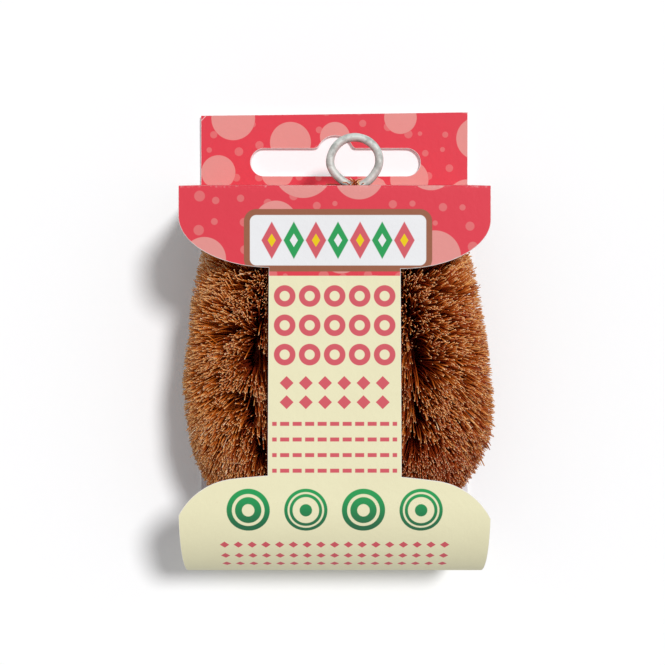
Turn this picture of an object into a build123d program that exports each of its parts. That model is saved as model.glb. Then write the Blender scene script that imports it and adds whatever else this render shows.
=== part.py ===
from build123d import *
import math
import os

# A coir scrub brush in a folded card sleeve, lying on the sleeve's back panel.
# X runs across the sleeve, Y up to the hanging ring and Z from the back panel to the front panel.
# The origin is on the outer face of the back panel, midway across the card. Lengths are in millimetres.

# Card sleeve
card_thickness = 0.45
sleeve_width = 65.0
sleeve_depth = 36.0
wrap_start_y = -35.2
fold_y = 30.7
tab_root_y = 35.9
tab_top_y = 53.4
tab_layer_gap = 0.05
crease_gap = 0.12
cut_overrun = 2.0

# Outline of the front panel
strap_width = 27.8
header_side_length = 7.1
header_corner_height = 10.2
footer_crown_rise = 5.8
footer_shoulder_drop = 1.9
footer_corner_drop = 5.1
footer_ear_drop = 9.3
footer_shoulder_share = 0.74
footer_corner_share = 0.93

# Hang slot through both layers of the tab
slot_length = 41.5
slot_height = 6.83
slot_x = 0.27
slot_below_top = 11.77
slot_bump_radius = 4.6
slot_bump_rise = 1.97
slot_bump_fillet = 1.2

# Hanging ring and its legs
wire_diameter = 1.9
ring_radius = 5.55
ring_x_share = 0.9
ring_rise = 5.1
leg_gap = 0.12
leg_flare_radius = 2.0
ring_hole_play = 1.1
ring_hole_swing_gap = 0.5
ring_hole_shift = 0.6
ring_hole_corner = 2.5

# Binding round the legs of the ring
binding_diameter = 0.9
binding_turns = 3
binding_pitch = 1.35
binding_gap = 0.15
binding_end_gap = 0.2
stem_seat_gap = 0.3

# Twisted core, a closed loop of two strands
core_strand_gap = 0.14
core_twists = 11
core_end_gap = 0.5
bend_wrap_play = 2.9
bend_radius = 17.8
shoulder_radius = 8.0
limb_lean = 18.0

# Coir bristles, fused to the tube of packed roots round the core
root_gap = 0.15
root_wall = 0.6
root_sink = 0.35
strand_radius = 0.55
strand_sides = 3
strands_around = 12
station_pitch = 3.8
panel_gap = 0.35
shelf_gap = 1.0
centre_gap = 0.6
bend_hollow = 4.5
shoulder_hollow = 2.6
shortest_strand = 2.0
stem_gap = 0.3

# Sizes and places that follow from these
half_width = sleeve_width / 2
wrap_radius = sleeve_depth / 2
middle_z = sleeve_depth / 2
crease_y = fold_y - card_thickness / 2
crease_z = sleeve_depth - card_thickness / 2
tab_root_z = card_thickness + tab_layer_gap + card_thickness / 2
shelf_length = math.hypot(tab_root_y - crease_y, crease_z - tab_root_z)
shelf_slope = (tab_root_y - crease_y) / (crease_z - tab_root_z)
shelf_middle_y = crease_y + (crease_z - middle_z) * shelf_slope
slot_y = tab_top_y - slot_below_top

wire_radius = wire_diameter / 2
leg_offset = wire_radius + leg_gap / 2
ring_y = shelf_middle_y + ring_rise
flare_reach = ring_radius + leg_flare_radius
leg_top_y = ring_y - math.sqrt(flare_reach**2 - (leg_offset + leg_flare_radius) ** 2)
binding_radius = leg_offset + wire_radius + binding_gap + binding_diameter / 2
binding_top_y = leg_top_y - binding_end_gap
binding_bottom_y = binding_top_y - binding_turns * binding_pitch
leg_bottom_y = binding_bottom_y - binding_diameter / 2

core_offset = wire_radius + core_strand_gap / 2
root_inner = core_offset + wire_radius + root_gap
root_outer = root_inner + root_wall
core_top_y = leg_bottom_y - stem_seat_gap - root_outer
bend_y = wrap_start_y + bend_wrap_play + bend_radius
lean = math.radians(limb_lean)
limb_top_y = core_top_y - shoulder_radius * (1 - math.sin(lean))
limb_radius = (limb_top_y - bend_y) / math.sin(lean)
limb_top_x = bend_radius - limb_radius * (1 - math.cos(lean))
top_half_run = limb_top_x - shoulder_radius * math.cos(lean)
ring_x = top_half_run * ring_x_share
bristle_reach = wrap_radius - card_thickness - panel_gap


def slot_cutter(bottom_z, top_z):
    """The hang slot with its round bump, through one layer of the tab."""
    outline = Pos(slot_x, slot_y) * SlotOverall(slot_length, slot_height)
    outline += Pos(slot_x, slot_y + slot_bump_rise) * Circle(slot_bump_radius)
    shoulder_y = slot_y + slot_height / 2
    corners = outline.vertices().sort_by(lambda v: abs(v.Y - shoulder_y) + abs(v.X - slot_x))[:2]
    outline = fillet(corners, slot_bump_fillet)
    lowered = Pos(0, 0, bottom_z - cut_overrun) * outline
    return extrude(lowered, amount=top_z - bottom_z + 2 * cut_overrun)


def back_panel():
    """The flat back of the sleeve, whose upper part is the back layer of the tab."""
    length = tab_top_y - wrap_start_y
    panel = Box(sleeve_width, length, card_thickness, align=(Align.CENTER, Align.MIN, Align.MIN))
    return Pos(0, wrap_start_y, 0) * panel - slot_cutter(0, card_thickness)


def front_outline():
    """The cut shape of the front: header, strap and footer, as one solid above the middle."""
    corner_y = fold_y - header_side_length
    header_foot_y = corner_y - header_corner_height
    strap_half = strap_width / 2
    corner = Pos(strap_half, corner_y) * Ellipse(half_width - strap_half, header_corner_height)
    header = Pos(0, corner_y) * Rectangle(
        sleeve_width, header_side_length + cut_overrun, align=(Align.CENTER, Align.MIN)
    )
    header += corner + mirror(corner, Plane.YZ)
    header += Pos(0, header_foot_y) * Rectangle(
        strap_width, header_corner_height, align=(Align.CENTER, Align.MIN)
    )
    crown_y = wrap_start_y + footer_crown_rise
    shoulder = (half_width * footer_shoulder_share, crown_y - footer_shoulder_drop)
    corner_point = (half_width * footer_corner_share, crown_y - footer_corner_drop)
    ear = (half_width, crown_y - footer_ear_drop)
    base_y = wrap_start_y - wrap_radius - cut_overrun
    crown = ThreePointArc((-shoulder[0], shoulder[1]), (0, crown_y), shoulder)
    right = ThreePointArc(shoulder, corner_point, ear)
    left = ThreePointArc((-shoulder[0], shoulder[1]), (-corner_point[0], corner_point[1]), (-ear[0], ear[1]))
    base = Polyline(ear, (half_width, base_y), (-half_width, base_y), (-ear[0], ear[1]))
    footer = make_face([crown, right, left, base])
    strap_length = header_foot_y + header_corner_height / 2 - wrap_start_y
    strap = Pos(0, wrap_start_y) * Rectangle(strap_width, strap_length, align=(Align.CENTER, Align.MIN))
    return extrude(Pos(0, 0, middle_z) * (header + strap + footer), amount=middle_z + cut_overrun)


def front_panel():
    """The flat front from the wrap up to the crease, where its edge is round."""
    length = crease_y - wrap_start_y
    plate = Box(sleeve_width, length, card_thickness, align=(Align.CENTER, Align.MIN, Align.MAX))
    edge = Cylinder(card_thickness / 2, sleeve_width, rotation=(0, 90, 0))
    panel = Pos(0, wrap_start_y, sleeve_depth) * plate + Pos(0, crease_y, crease_z) * edge
    return panel & front_outline()


def bottom_wrap():
    """The half-round bend of card under the brush, with the ears of the footer cut into it."""
    ring = Circle(wrap_radius) - Circle(wrap_radius - card_thickness)
    lower = Rectangle(wrap_radius, sleeve_depth, align=(Align.MAX, Align.CENTER))
    section = Plane.YZ * (Pos(wrap_start_y, middle_z) * (ring & lower))
    shell = extrude(section, amount=half_width, both=True)
    keep_below = Box(
        sleeve_width + cut_overrun,
        sleeve_depth,
        middle_z + cut_overrun,
        align=(Align.CENTER, Align.MAX, Align.MAX),
    )
    return shell & (front_outline() + Pos(0, wrap_start_y, middle_z) * keep_below)


def shelf_plane():
    """The plane of the shelf: its origin on the crease, its X along the crease, its Y down the shelf."""
    down = Vector(0, tab_root_y - crease_y, tab_root_z - crease_z).normalized()
    across = Vector(1, 0, 0)
    return Plane(origin=(0, crease_y, crease_z), x_dir=across, z_dir=across.cross(down))


def ring_hole():
    """The hole in the shelf that lets the whole ring through while the flap swings."""
    near = crease_z - middle_z - wire_radius - ring_hole_swing_gap
    ring_top = ring_y + ring_radius + wire_radius - crease_y
    far = math.hypot(ring_top, crease_z - middle_z + wire_radius) + ring_hole_swing_gap
    width = 2 * (ring_radius + wire_radius + ring_hole_play)
    outline = RectangleRounded(width, far - near, ring_hole_corner)
    place = Pos(ring_x - ring_hole_shift, (near + far) / 2)
    return extrude(shelf_plane() * place * outline, amount=cut_overrun, both=True)


def top_flap():
    """The shelf over the brush and the front layer of the tab, in one bent piece."""
    shelf = shelf_plane() * Box(
        sleeve_width, shelf_length, card_thickness, align=(Align.CENTER, Align.MIN, Align.CENTER)
    )
    bend = Pos(0, tab_root_y, tab_root_z) * Cylinder(card_thickness / 2, sleeve_width, rotation=(0, 90, 0))
    layer = Pos(0, tab_root_y, tab_root_z) * Box(
        sleeve_width, tab_top_y - tab_root_y, card_thickness, align=(Align.CENTER, Align.MIN, Align.CENTER)
    )
    clearance = Cylinder(card_thickness / 2 + crease_gap, sleeve_width + cut_overrun, rotation=(0, 90, 0))
    flap = shelf + bend + layer
    flap -= Pos(0, crease_y, crease_z) * clearance
    flap -= ring_hole()
    return flap - slot_cutter(tab_root_z - card_thickness / 2, tab_root_z + card_thickness / 2)


def tube(path, radius):
    """A round wire of the given radius along a path."""
    section = Plane(origin=path @ 0, z_dir=path % 0) * Circle(radius)
    return sweep(section, path=path)


def hanging_ring():
    """The ring and its two legs, as one bent wire."""
    opening = math.degrees(math.asin((leg_offset + leg_flare_radius) / flare_reach))
    left_x = ring_x - leg_offset
    right_x = ring_x + leg_offset
    left_leg = Line((left_x, leg_bottom_y), (left_x, leg_top_y))
    left_flare = CenterArc((left_x - leg_flare_radius, leg_top_y), leg_flare_radius, 0, 90 - opening)
    ring = CenterArc((ring_x, ring_y), ring_radius, 270 - opening, 2 * opening - 360)
    right_flare = CenterArc(
        (right_x + leg_flare_radius, leg_top_y), leg_flare_radius, 90 + opening, 90 - opening
    )
    right_leg = Line((right_x, leg_top_y), (right_x, leg_bottom_y))
    path = Pos(0, 0, middle_z) * Wire([left_leg, left_flare, ring, right_flare, right_leg])
    return tube(path, wire_radius)


def biarc(start, start_way, end, end_way):
    """Two arcs in a smooth line from start to end, leaving and arriving along the given ways."""
    span = end - start
    pull = span.dot(start_way + end_way)
    spread = 2 * (1 - start_way.dot(end_way))
    reach = (math.sqrt(pull**2 + spread * span.dot(span)) - pull) / spread
    near = start + start_way * reach
    far = end - end_way * reach
    middle = (near + far) / 2
    return [Edge.make_tangent_arc(start, start_way, middle), Edge.make_tangent_arc(middle, far - near, end)]


def winding(place_at, turns):
    """A path of quarter turns through the places that place_at gives for a share of the whole."""
    quarters = round(4 * turns)
    nudge_share = 0.001
    step = nudge_share / quarters
    places = []
    ways = []
    for quarter in range(quarters + 1):
        share = quarter / quarters
        places.append(place_at(share))
        ways.append((place_at(share + step) - place_at(share - step)).normalized())
    edges = []
    for quarter in range(quarters):
        edges += biarc(places[quarter], ways[quarter], places[quarter + 1], ways[quarter + 1])
    return Wire(edges)


def least_gap(path, turns, diameter):
    """The least gap of a wound wire to itself, measured on points more than half a turn apart."""
    points_a_turn = 40
    count = round(points_a_turn * turns)
    points = [path @ (number / count) for number in range(count + 1)]
    apart = points_a_turn // 2
    nearest = min(
        (points[second] - points[first]).length
        for first in range(count + 1)
        for second in range(first + apart, count + 1)
    )
    return nearest - diameter


def neck_binding():
    """The thin wire wound round both legs of the ring."""

    def place_at(share):
        angle = 2 * math.pi * binding_turns * share
        x = ring_x + binding_radius * math.cos(angle)
        z = middle_z + binding_radius * math.sin(angle)
        return Vector(x, binding_bottom_y + binding_turns * binding_pitch * share, z)

    path = winding(place_at, binding_turns)
    print("neck_binding least gap", round(least_gap(path, binding_turns, binding_diameter), 3))
    return tube(path, binding_diameter / 2)


def core_stretches():
    """The loop of the core, against the clock from the top, as named lines and arcs."""
    bend_centre = (0, bend_y)
    left_limb_centre = (limb_radius - bend_radius, bend_y)
    right_limb_centre = (bend_radius - limb_radius, bend_y)
    left_shoulder_centre = (-top_half_run, core_top_y - shoulder_radius)
    right_shoulder_centre = (top_half_run, core_top_y - shoulder_radius)
    shoulder_turn = 90 - limb_lean
    half_limb = limb_lean / 2
    base_turn = 45
    stretches = {
        "top": Line((top_half_run, core_top_y), (-top_half_run, core_top_y)),
        "shoulder_left": CenterArc(left_shoulder_centre, shoulder_radius, 90, shoulder_turn),
        "upper_limb_left": CenterArc(left_limb_centre, limb_radius, 180 - limb_lean, half_limb),
        "lower_limb_left": CenterArc(left_limb_centre, limb_radius, 180 - half_limb, half_limb),
        "bend_side_left": CenterArc(bend_centre, bend_radius, 180, base_turn),
        "bend_base_left": CenterArc(bend_centre, bend_radius, 180 + base_turn, base_turn),
        "bend_base_right": CenterArc(bend_centre, bend_radius, 270, base_turn),
        "bend_side_right": CenterArc(bend_centre, bend_radius, 270 + base_turn, base_turn),
        "lower_limb_right": CenterArc(right_limb_centre, limb_radius, 0, half_limb),
        "upper_limb_right": CenterArc(right_limb_centre, limb_radius, half_limb, half_limb),
        "shoulder_right": CenterArc(right_shoulder_centre, shoulder_radius, limb_lean, shoulder_turn),
    }
    return {name: Pos(0, 0, middle_z) * stretch for name, stretch in stretches.items()}


def outward_of(along):
    """The direction out of the loop, square to the way along it."""
    return Vector(along.Y, -along.X, 0).normalized()


def core_strand(phase):
    """One of the two wires twisted round each other along the loop."""
    top_centre = (0, core_top_y, middle_z)
    edges = [stretch for name, stretch in core_stretches().items() if name != "top"]
    first = Line(top_centre, (-top_half_run, core_top_y, middle_z))
    last = Line((top_half_run, core_top_y, middle_z), top_centre)
    loop = Wire([first, *edges, last])
    end_share = core_end_gap / 2 / loop.length

    def place_at(share):
        way = end_share + (1 - 2 * end_share) * share
        angle = 2 * math.pi * core_twists * share + phase
        outward = outward_of(loop % way)
        return loop @ way + outward * core_offset * math.cos(angle) + Vector(0, 0, core_offset) * math.sin(angle)

    path = winding(place_at, core_twists)
    return tube(path, wire_radius)


def shelf_limit(root, way):
    """How far a strand may run before it comes too near the shelf."""
    across = shelf_plane().z_dir
    if across.Y < 0:
        across = -across
    climb = way.dot(across)
    if climb <= 0:
        return bristle_reach
    room = (Vector(0, crease_y, crease_z) - root).dot(across) - card_thickness / 2 - shelf_gap
    return room / climb


def inner_limit(place, outward, turn_room):
    """How far inwards a strand may run before it nears the middle of its turn or of the brush."""
    side_room = turn_room
    if abs(outward.X) > abs(outward.Y):
        side_room = (abs(place.X) - centre_gap) / abs(outward.X)
    return min(turn_room, side_room)


def meets_stem(root, way, length):
    """Whether a strand would run into the legs of the ring or their binding."""
    keep_out = binding_radius + binding_diameter / 2 + strand_radius + stem_gap
    steps = 8
    for step in range(steps + 1):
        point = root + way * (length * step / steps)
        beside = math.hypot(point.X - ring_x, point.Z - middle_z)
        if point.Y > core_top_y + root_outer and beside < keep_out:
            return True
    return False


def strand(place, outward, angle, turn_room):
    """One bristle, from inside the wall of the root tube to its tip, or None where there is no room."""
    way = outward * math.cos(angle) + Vector(0, 0, math.sin(angle))
    reach = min(bristle_reach, shelf_limit(place, way))
    if math.cos(angle) < 0:
        reach = min(reach, inner_limit(place, outward, turn_room) / -math.cos(angle))
    start = root_outer - root_sink
    length = reach - start
    root = place + way * start
    if length < shortest_strand or meets_stem(root, way, length):
        return None
    section = Plane(origin=root, z_dir=way) * RegularPolygon(strand_radius, strand_sides)
    return extrude(section, amount=length)


def bristles(stretch, turn_room):
    """The root tube of one stretch of the loop with its strands, in one fuse."""
    section = Plane(origin=stretch @ 0, z_dir=stretch % 0) * (Circle(root_outer) - Circle(root_inner))
    roots = sweep(section, path=stretch)
    stations = max(1, round(stretch.length / station_pitch))
    strands = []
    for station in range(stations):
        share = (station + 0.5) / stations
        place = stretch @ share
        outward = outward_of(stretch % share)
        for number in range(strands_around):
            angle = 2 * math.pi * (number + (station % 2) / 2) / strands_around
            made = strand(place, outward, angle, turn_room)
            if made is not None:
                strands.append(made)
    print("strands", len(strands))
    return roots.fuse(*strands)


def main():
    """Make every piece and write it to its own file."""
    pieces = {
        "card_back_panel": back_panel(),
        "card_bottom_wrap": bottom_wrap(),
        "card_front_panel": front_panel(),
        "card_top_flap": top_flap(),
        "hanging_ring": hanging_ring(),
        "neck_binding": neck_binding(),
        "core_strand_a": core_strand(0),
        "core_strand_b": core_strand(math.pi),
    }
    for name, stretch in core_stretches().items():
        turn_room = bristle_reach
        if "bend" in name:
            turn_room = bend_radius - bend_hollow
        if "shoulder" in name or "top" in name:
            turn_room = shoulder_radius - shoulder_hollow
        pieces["bristles_" + name] = bristles(stretch, turn_room)
    os.makedirs("parts", exist_ok=True)
    for name, piece in pieces.items():
        export_step(piece, "parts/" + name + ".step")
        print(name, "solids", len(piece.solids()), "volume", round(piece.volume, 1))


main()
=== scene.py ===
"""The looks of a coir scrub brush in a folded card sleeve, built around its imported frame.

X runs across the sleeve, Y up to the hanging ring and Z from the back panel to the front panel. Lengths are
in metres. Places on the print are in millimetres: across the card, and along its printed side from behind
to the front.
"""

import logging
import math
from dataclasses import dataclass, field
from enum import Enum
from typing import ClassVar, Sequence

import bpy
import numpy as np
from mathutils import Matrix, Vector
from mathutils.geometry import delaunay_2d_cdt


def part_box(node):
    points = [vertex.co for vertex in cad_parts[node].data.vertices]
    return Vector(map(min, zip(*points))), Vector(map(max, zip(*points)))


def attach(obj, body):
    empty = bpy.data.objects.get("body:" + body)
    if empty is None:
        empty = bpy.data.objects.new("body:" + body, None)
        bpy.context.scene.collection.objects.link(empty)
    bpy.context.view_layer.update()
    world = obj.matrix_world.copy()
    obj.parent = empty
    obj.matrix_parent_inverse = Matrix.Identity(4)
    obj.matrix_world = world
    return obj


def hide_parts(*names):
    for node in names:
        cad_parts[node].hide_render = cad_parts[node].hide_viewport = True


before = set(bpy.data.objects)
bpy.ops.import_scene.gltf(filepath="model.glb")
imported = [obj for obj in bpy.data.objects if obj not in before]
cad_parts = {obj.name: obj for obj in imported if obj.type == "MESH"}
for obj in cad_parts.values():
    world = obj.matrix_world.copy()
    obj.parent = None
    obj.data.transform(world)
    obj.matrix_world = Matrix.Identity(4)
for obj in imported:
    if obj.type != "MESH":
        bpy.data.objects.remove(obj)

MM = 0.001
BAKE_MAP = "OFBake"
# How close to the card's fold a point lies to be on it.
NEAR = 1e-6
Socket = bpy.types.NodeSocket
Material = bpy.types.Material
Random = np.random.Generator
log = logging.getLogger("coir_brush")


class Ink(Enum):
    """The colours of the print, the card, the wire and the coir, as sRGB from 0 to 255."""

    RED = (226, 62, 80)
    PINK = (231, 150, 146)
    CREAM = (240, 236, 198)
    LABEL_WHITE = (240, 242, 245)
    RIM_BROWN = (152, 96, 72)
    ROSE = (214, 92, 104)
    LEAF_GREEN = (4, 160, 88)
    DEEP_GREEN = (14, 104, 72)
    YELLOW = (240, 208, 10)
    BARE_CARD = (232, 229, 236)
    CUT_WHITE = (246, 243, 240)
    ZINC = (198, 205, 200)
    ZINC_DULL = (168, 176, 171)
    # The coir colours run from dark at the roots to straw at the tips: painted shade deep in the brush and
    # painted light at the tips, over the coir's own brown.
    COIR_DARK_AND_SHADE = (150, 46, 20)
    COIR_RUST = (154, 60, 17)
    COIR_BROWN = (226, 124, 36)
    COIR_GOLD = (236, 158, 76)
    COIR_STRAW = (254, 206, 138)
    # The cut colour is partly the fibre's cut end and partly a painted highlight on its tip.
    COIR_CUT_AND_GLINT = (255, 226, 198)
    FLOOR_GREY = (224, 225, 227)
    FLOOR_WHITE = (253, 253, 254)

    @property
    def linear(self) -> tuple[float, float, float, float]:
        """The colour as a shader reads it."""
        shares = [part / 255 for part in self.value]
        parts = [s / 12.92 if s <= 0.04045 else ((s + 0.055) / 1.055) ** 2.4 for s in shares]
        return (*parts, 1.0)


class Face(Enum):
    """The faces of a card, in the order of its material slots."""

    PRINTED = 0
    BARE = 1
    CUT = 2


class Shade:
    """A material under construction, with a short method for each kind of node that it takes."""

    def __init__(self, name: str) -> None:
        """Start an empty node tree under the given name."""
        self.material = bpy.data.materials.new(name)
        self.material.use_nodes = True
        self.tree = self.material.node_tree
        self.tree.nodes.clear()

    def node(self, kind: str, **settings: object) -> bpy.types.Node:
        """Add a node and set its properties.

        Args:
            kind: The node's type, without its ShaderNode prefix.
            settings: Properties of the node by name.

        Returns:
            The new node.
        """
        made = self.tree.nodes.new("ShaderNode" + kind)
        for key, value in settings.items():
            setattr(made, key, value)
        return made

    def feed(self, socket: Socket, value: object) -> None:
        """Link a socket's source to it, or set its number or colour."""
        if isinstance(value, Socket):
            self.tree.links.new(value, socket)
        else:
            socket.default_value = value

    def math(self, operation: str, first: object, second: object = 0.0, third: object = 0.0) -> Socket:
        """The result of one Math node.

        Args:
            operation: The node's operation.
            first: The first number or socket.
            second: The second number or socket.
            third: The third number or socket.

        Returns:
            The node's output.
        """
        made = self.node("Math", operation=operation)
        for socket, value in zip(made.inputs, (first, second, third)):
            self.feed(socket, value)
        return made.outputs[0]

    def times(self, first: object, second: object) -> Socket:
        """The product of two values."""
        return self.math("MULTIPLY", first, second)

    def minus(self, first: object, second: object) -> Socket:
        """The first value without the second."""
        return self.math("SUBTRACT", first, second)

    def most(self, first: object, second: object) -> Socket:
        """The larger of two values."""
        return self.math("MAXIMUM", first, second)

    def far(self, across: object, along: object) -> Socket:
        """How far a place lies from the middle."""
        squares = [self.math("POWER", part, 2.0) for part in (across, along)]
        return self.math("SQRT", self.math("ADD", *squares))

    def span(
        self,
        value: object,
        low: float,
        high: float,
        ends: tuple[float, float] = (0.0, 1.0),
    ) -> Socket:
        """Turn a value smoothly from one end to the other as it comes from low to high.

        Args:
            value: The value.
            low: Where the first end holds.
            high: Where the second end holds.
            ends: The two ends.

        Returns:
            The turned value.
        """
        made = self.node("MapRange", interpolation_type="SMOOTHSTEP")
        names = ("Value", "From Min", "From Max", "To Min", "To Max")
        for name, given in zip(names, (value, low, high, *ends)):
            self.feed(made.inputs[name], given)
        return made.outputs["Result"]

    def under(self, value: object, limit: float, blur: float = 0.08) -> Socket:
        """A mask that is 1 where a value is under a limit, with a blurred edge."""
        return self.span(value, limit - blur, limit + blur, (1.0, 0.0))

    def about(self, value: object, half: float, blur: float = 0.08) -> Socket:
        """A mask that is 1 where a value lies less than half a width from 0."""
        return self.under(self.math("ABSOLUTE", value), half, blur)

    def within(self, value: object, low: float, high: float) -> Socket:
        """A mask that is 1 where a value lies between two limits."""
        return self.about(self.minus(value, (low + high) / 2), (high - low) / 2)

    def lozenge(self, x: object, v: object, half: tuple[float, float], blur: float = 0.05) -> Socket:
        """The mask of a lozenge about the middle.

        Args:
            x: The place across.
            v: The place along.
            half: Half its width and half its height.
            blur: How soft its edge is, as a share of its size.

        Returns:
            The mask.
        """
        shares = [self.math("DIVIDE", self.math("ABSOLUTE", p), h) for p, h in zip((x, v), half)]
        return self.under(self.math("ADD", *shares), 1.0, blur)

    def wrapped(self, value: object, pitch: float) -> Socket:
        """A place within its own cell of a row, from minus to plus half the pitch."""
        return self.math("WRAP", value, pitch / 2, -pitch / 2)

    def odd_cell(self, value: object, pitch: float) -> Socket:
        """1 in every second cell of a row and 0 between."""
        number = self.math("ROUND", self.math("DIVIDE", value, pitch))
        return self.math("ABSOLUTE", self.math("MODULO", number, 2.0))

    def blend(self, share: object, first: object, second: object) -> Socket:
        """Two colours mixed by a share, from the first at 0 to the second at 1."""
        made = self.node("Mix", data_type="RGBA")
        for number, value in ((0, share), (6, first), (7, second)):
            self.feed(made.inputs[number], value.linear if isinstance(value, Ink) else value)
        return made.outputs[2]

    def noise(self, place: object, scale: float, detail: float = 2.0) -> Socket:
        """Noise from 0 to 1 at the given scale."""
        made = self.node("TexNoise")
        for name, value in (("Vector", place), ("Scale", scale), ("Detail", detail)):
            self.feed(made.inputs[name], value)
        return made.outputs["Fac"]

    def ramp(self, value: object, stops: Sequence[tuple[float, Ink]]) -> Socket:
        """A colour that runs through the given stops."""
        made = self.node("ValToRGB")
        points = made.color_ramp.elements
        while len(points) < len(stops):
            points.new(1.0)
        for point, (place, ink) in zip(points, stops):
            point.position = place
            point.color = ink.linear
        self.feed(made.inputs[0], value)
        return made.outputs[0]

    def finish(
        self,
        colour: object,
        roughness: object,
        height: object = None,
        depth: float = 0.0,
        **inputs: object,
    ) -> Material:
        """Close the material with its shader.

        Args:
            colour: The base colour.
            roughness: The roughness.
            height: What the bump follows, from 0 to 1, or None for no bump.
            depth: How far the bump reaches, in metres.
            inputs: Other inputs of the shader by name, with underscores for spaces.

        Returns:
            The finished material.
        """
        shader = self.node("BsdfPrincipled")
        self.feed(shader.inputs["Base Color"], colour)
        self.feed(shader.inputs["Roughness"], roughness)
        for name, value in inputs.items():
            self.feed(shader.inputs[name.replace("_", " ")], value)
        if height is not None:
            bump = self.node("Bump")
            self.feed(bump.inputs["Height"], height)
            self.feed(bump.inputs["Distance"], depth)
            self.feed(shader.inputs["Normal"], bump.outputs[0])
        self.feed(self.node("OutputMaterial").inputs["Surface"], shader.outputs[0])
        return self.material


class CardShade(Shade):
    """The material of one side of the card, laid out by the place on the print."""

    def __init__(self, name: str) -> None:
        """Start the material, and read the place across, along and in from the edge."""
        super().__init__(name)
        self.place = self.node("Attribute", attribute_name="print_place").outputs["Vector"]
        parts = self.node("SeparateXYZ")
        self.feed(parts.inputs[0], self.place)
        self.x, self.v, self.from_edge = parts.outputs


class Motif(Enum):
    """The small shapes that are printed in rows."""

    RING = "ring"
    LOZENGE = "lozenge"
    DASH = "dash"


@dataclass(frozen=True)
class MotifRows:
    """Rows of one small shape on a part of the card, in millimetres.

    The size is a ring's inner and outer radius, or half the width and half the height of another shape. The
    pitch and the shift are those of the rows across and along, and the rows lie within half a width of the
    middle and between two places along.
    """

    motif: Motif
    size: tuple[float, float]
    pitch: tuple[float, float]
    shift: tuple[float, float]
    half_width: float
    along: tuple[float, float]

    def mask(self, shade: CardShade) -> Socket:
        """The mask of all the rows.

        Args:
            shade: The material under construction.

        Returns:
            The mask.
        """
        area = shade.times(shade.within(shade.v, *self.along), shade.about(shade.x, self.half_width))
        cell = shade.wrapped(shade.math("ADD", shade.x, self.shift[0]), self.pitch[0])
        row = shade.wrapped(shade.math("ADD", shade.v, self.shift[1]), self.pitch[1])
        if self.motif is Motif.RING:
            shape = shade.within(shade.far(cell, row), *self.size)
        elif self.motif is Motif.LOZENGE:
            shape = shade.lozenge(cell, row, self.size)
        else:
            shape = shade.times(shade.about(cell, self.size[0]), shade.about(row, self.size[1]))
        return shade.times(shape, area)


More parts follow.
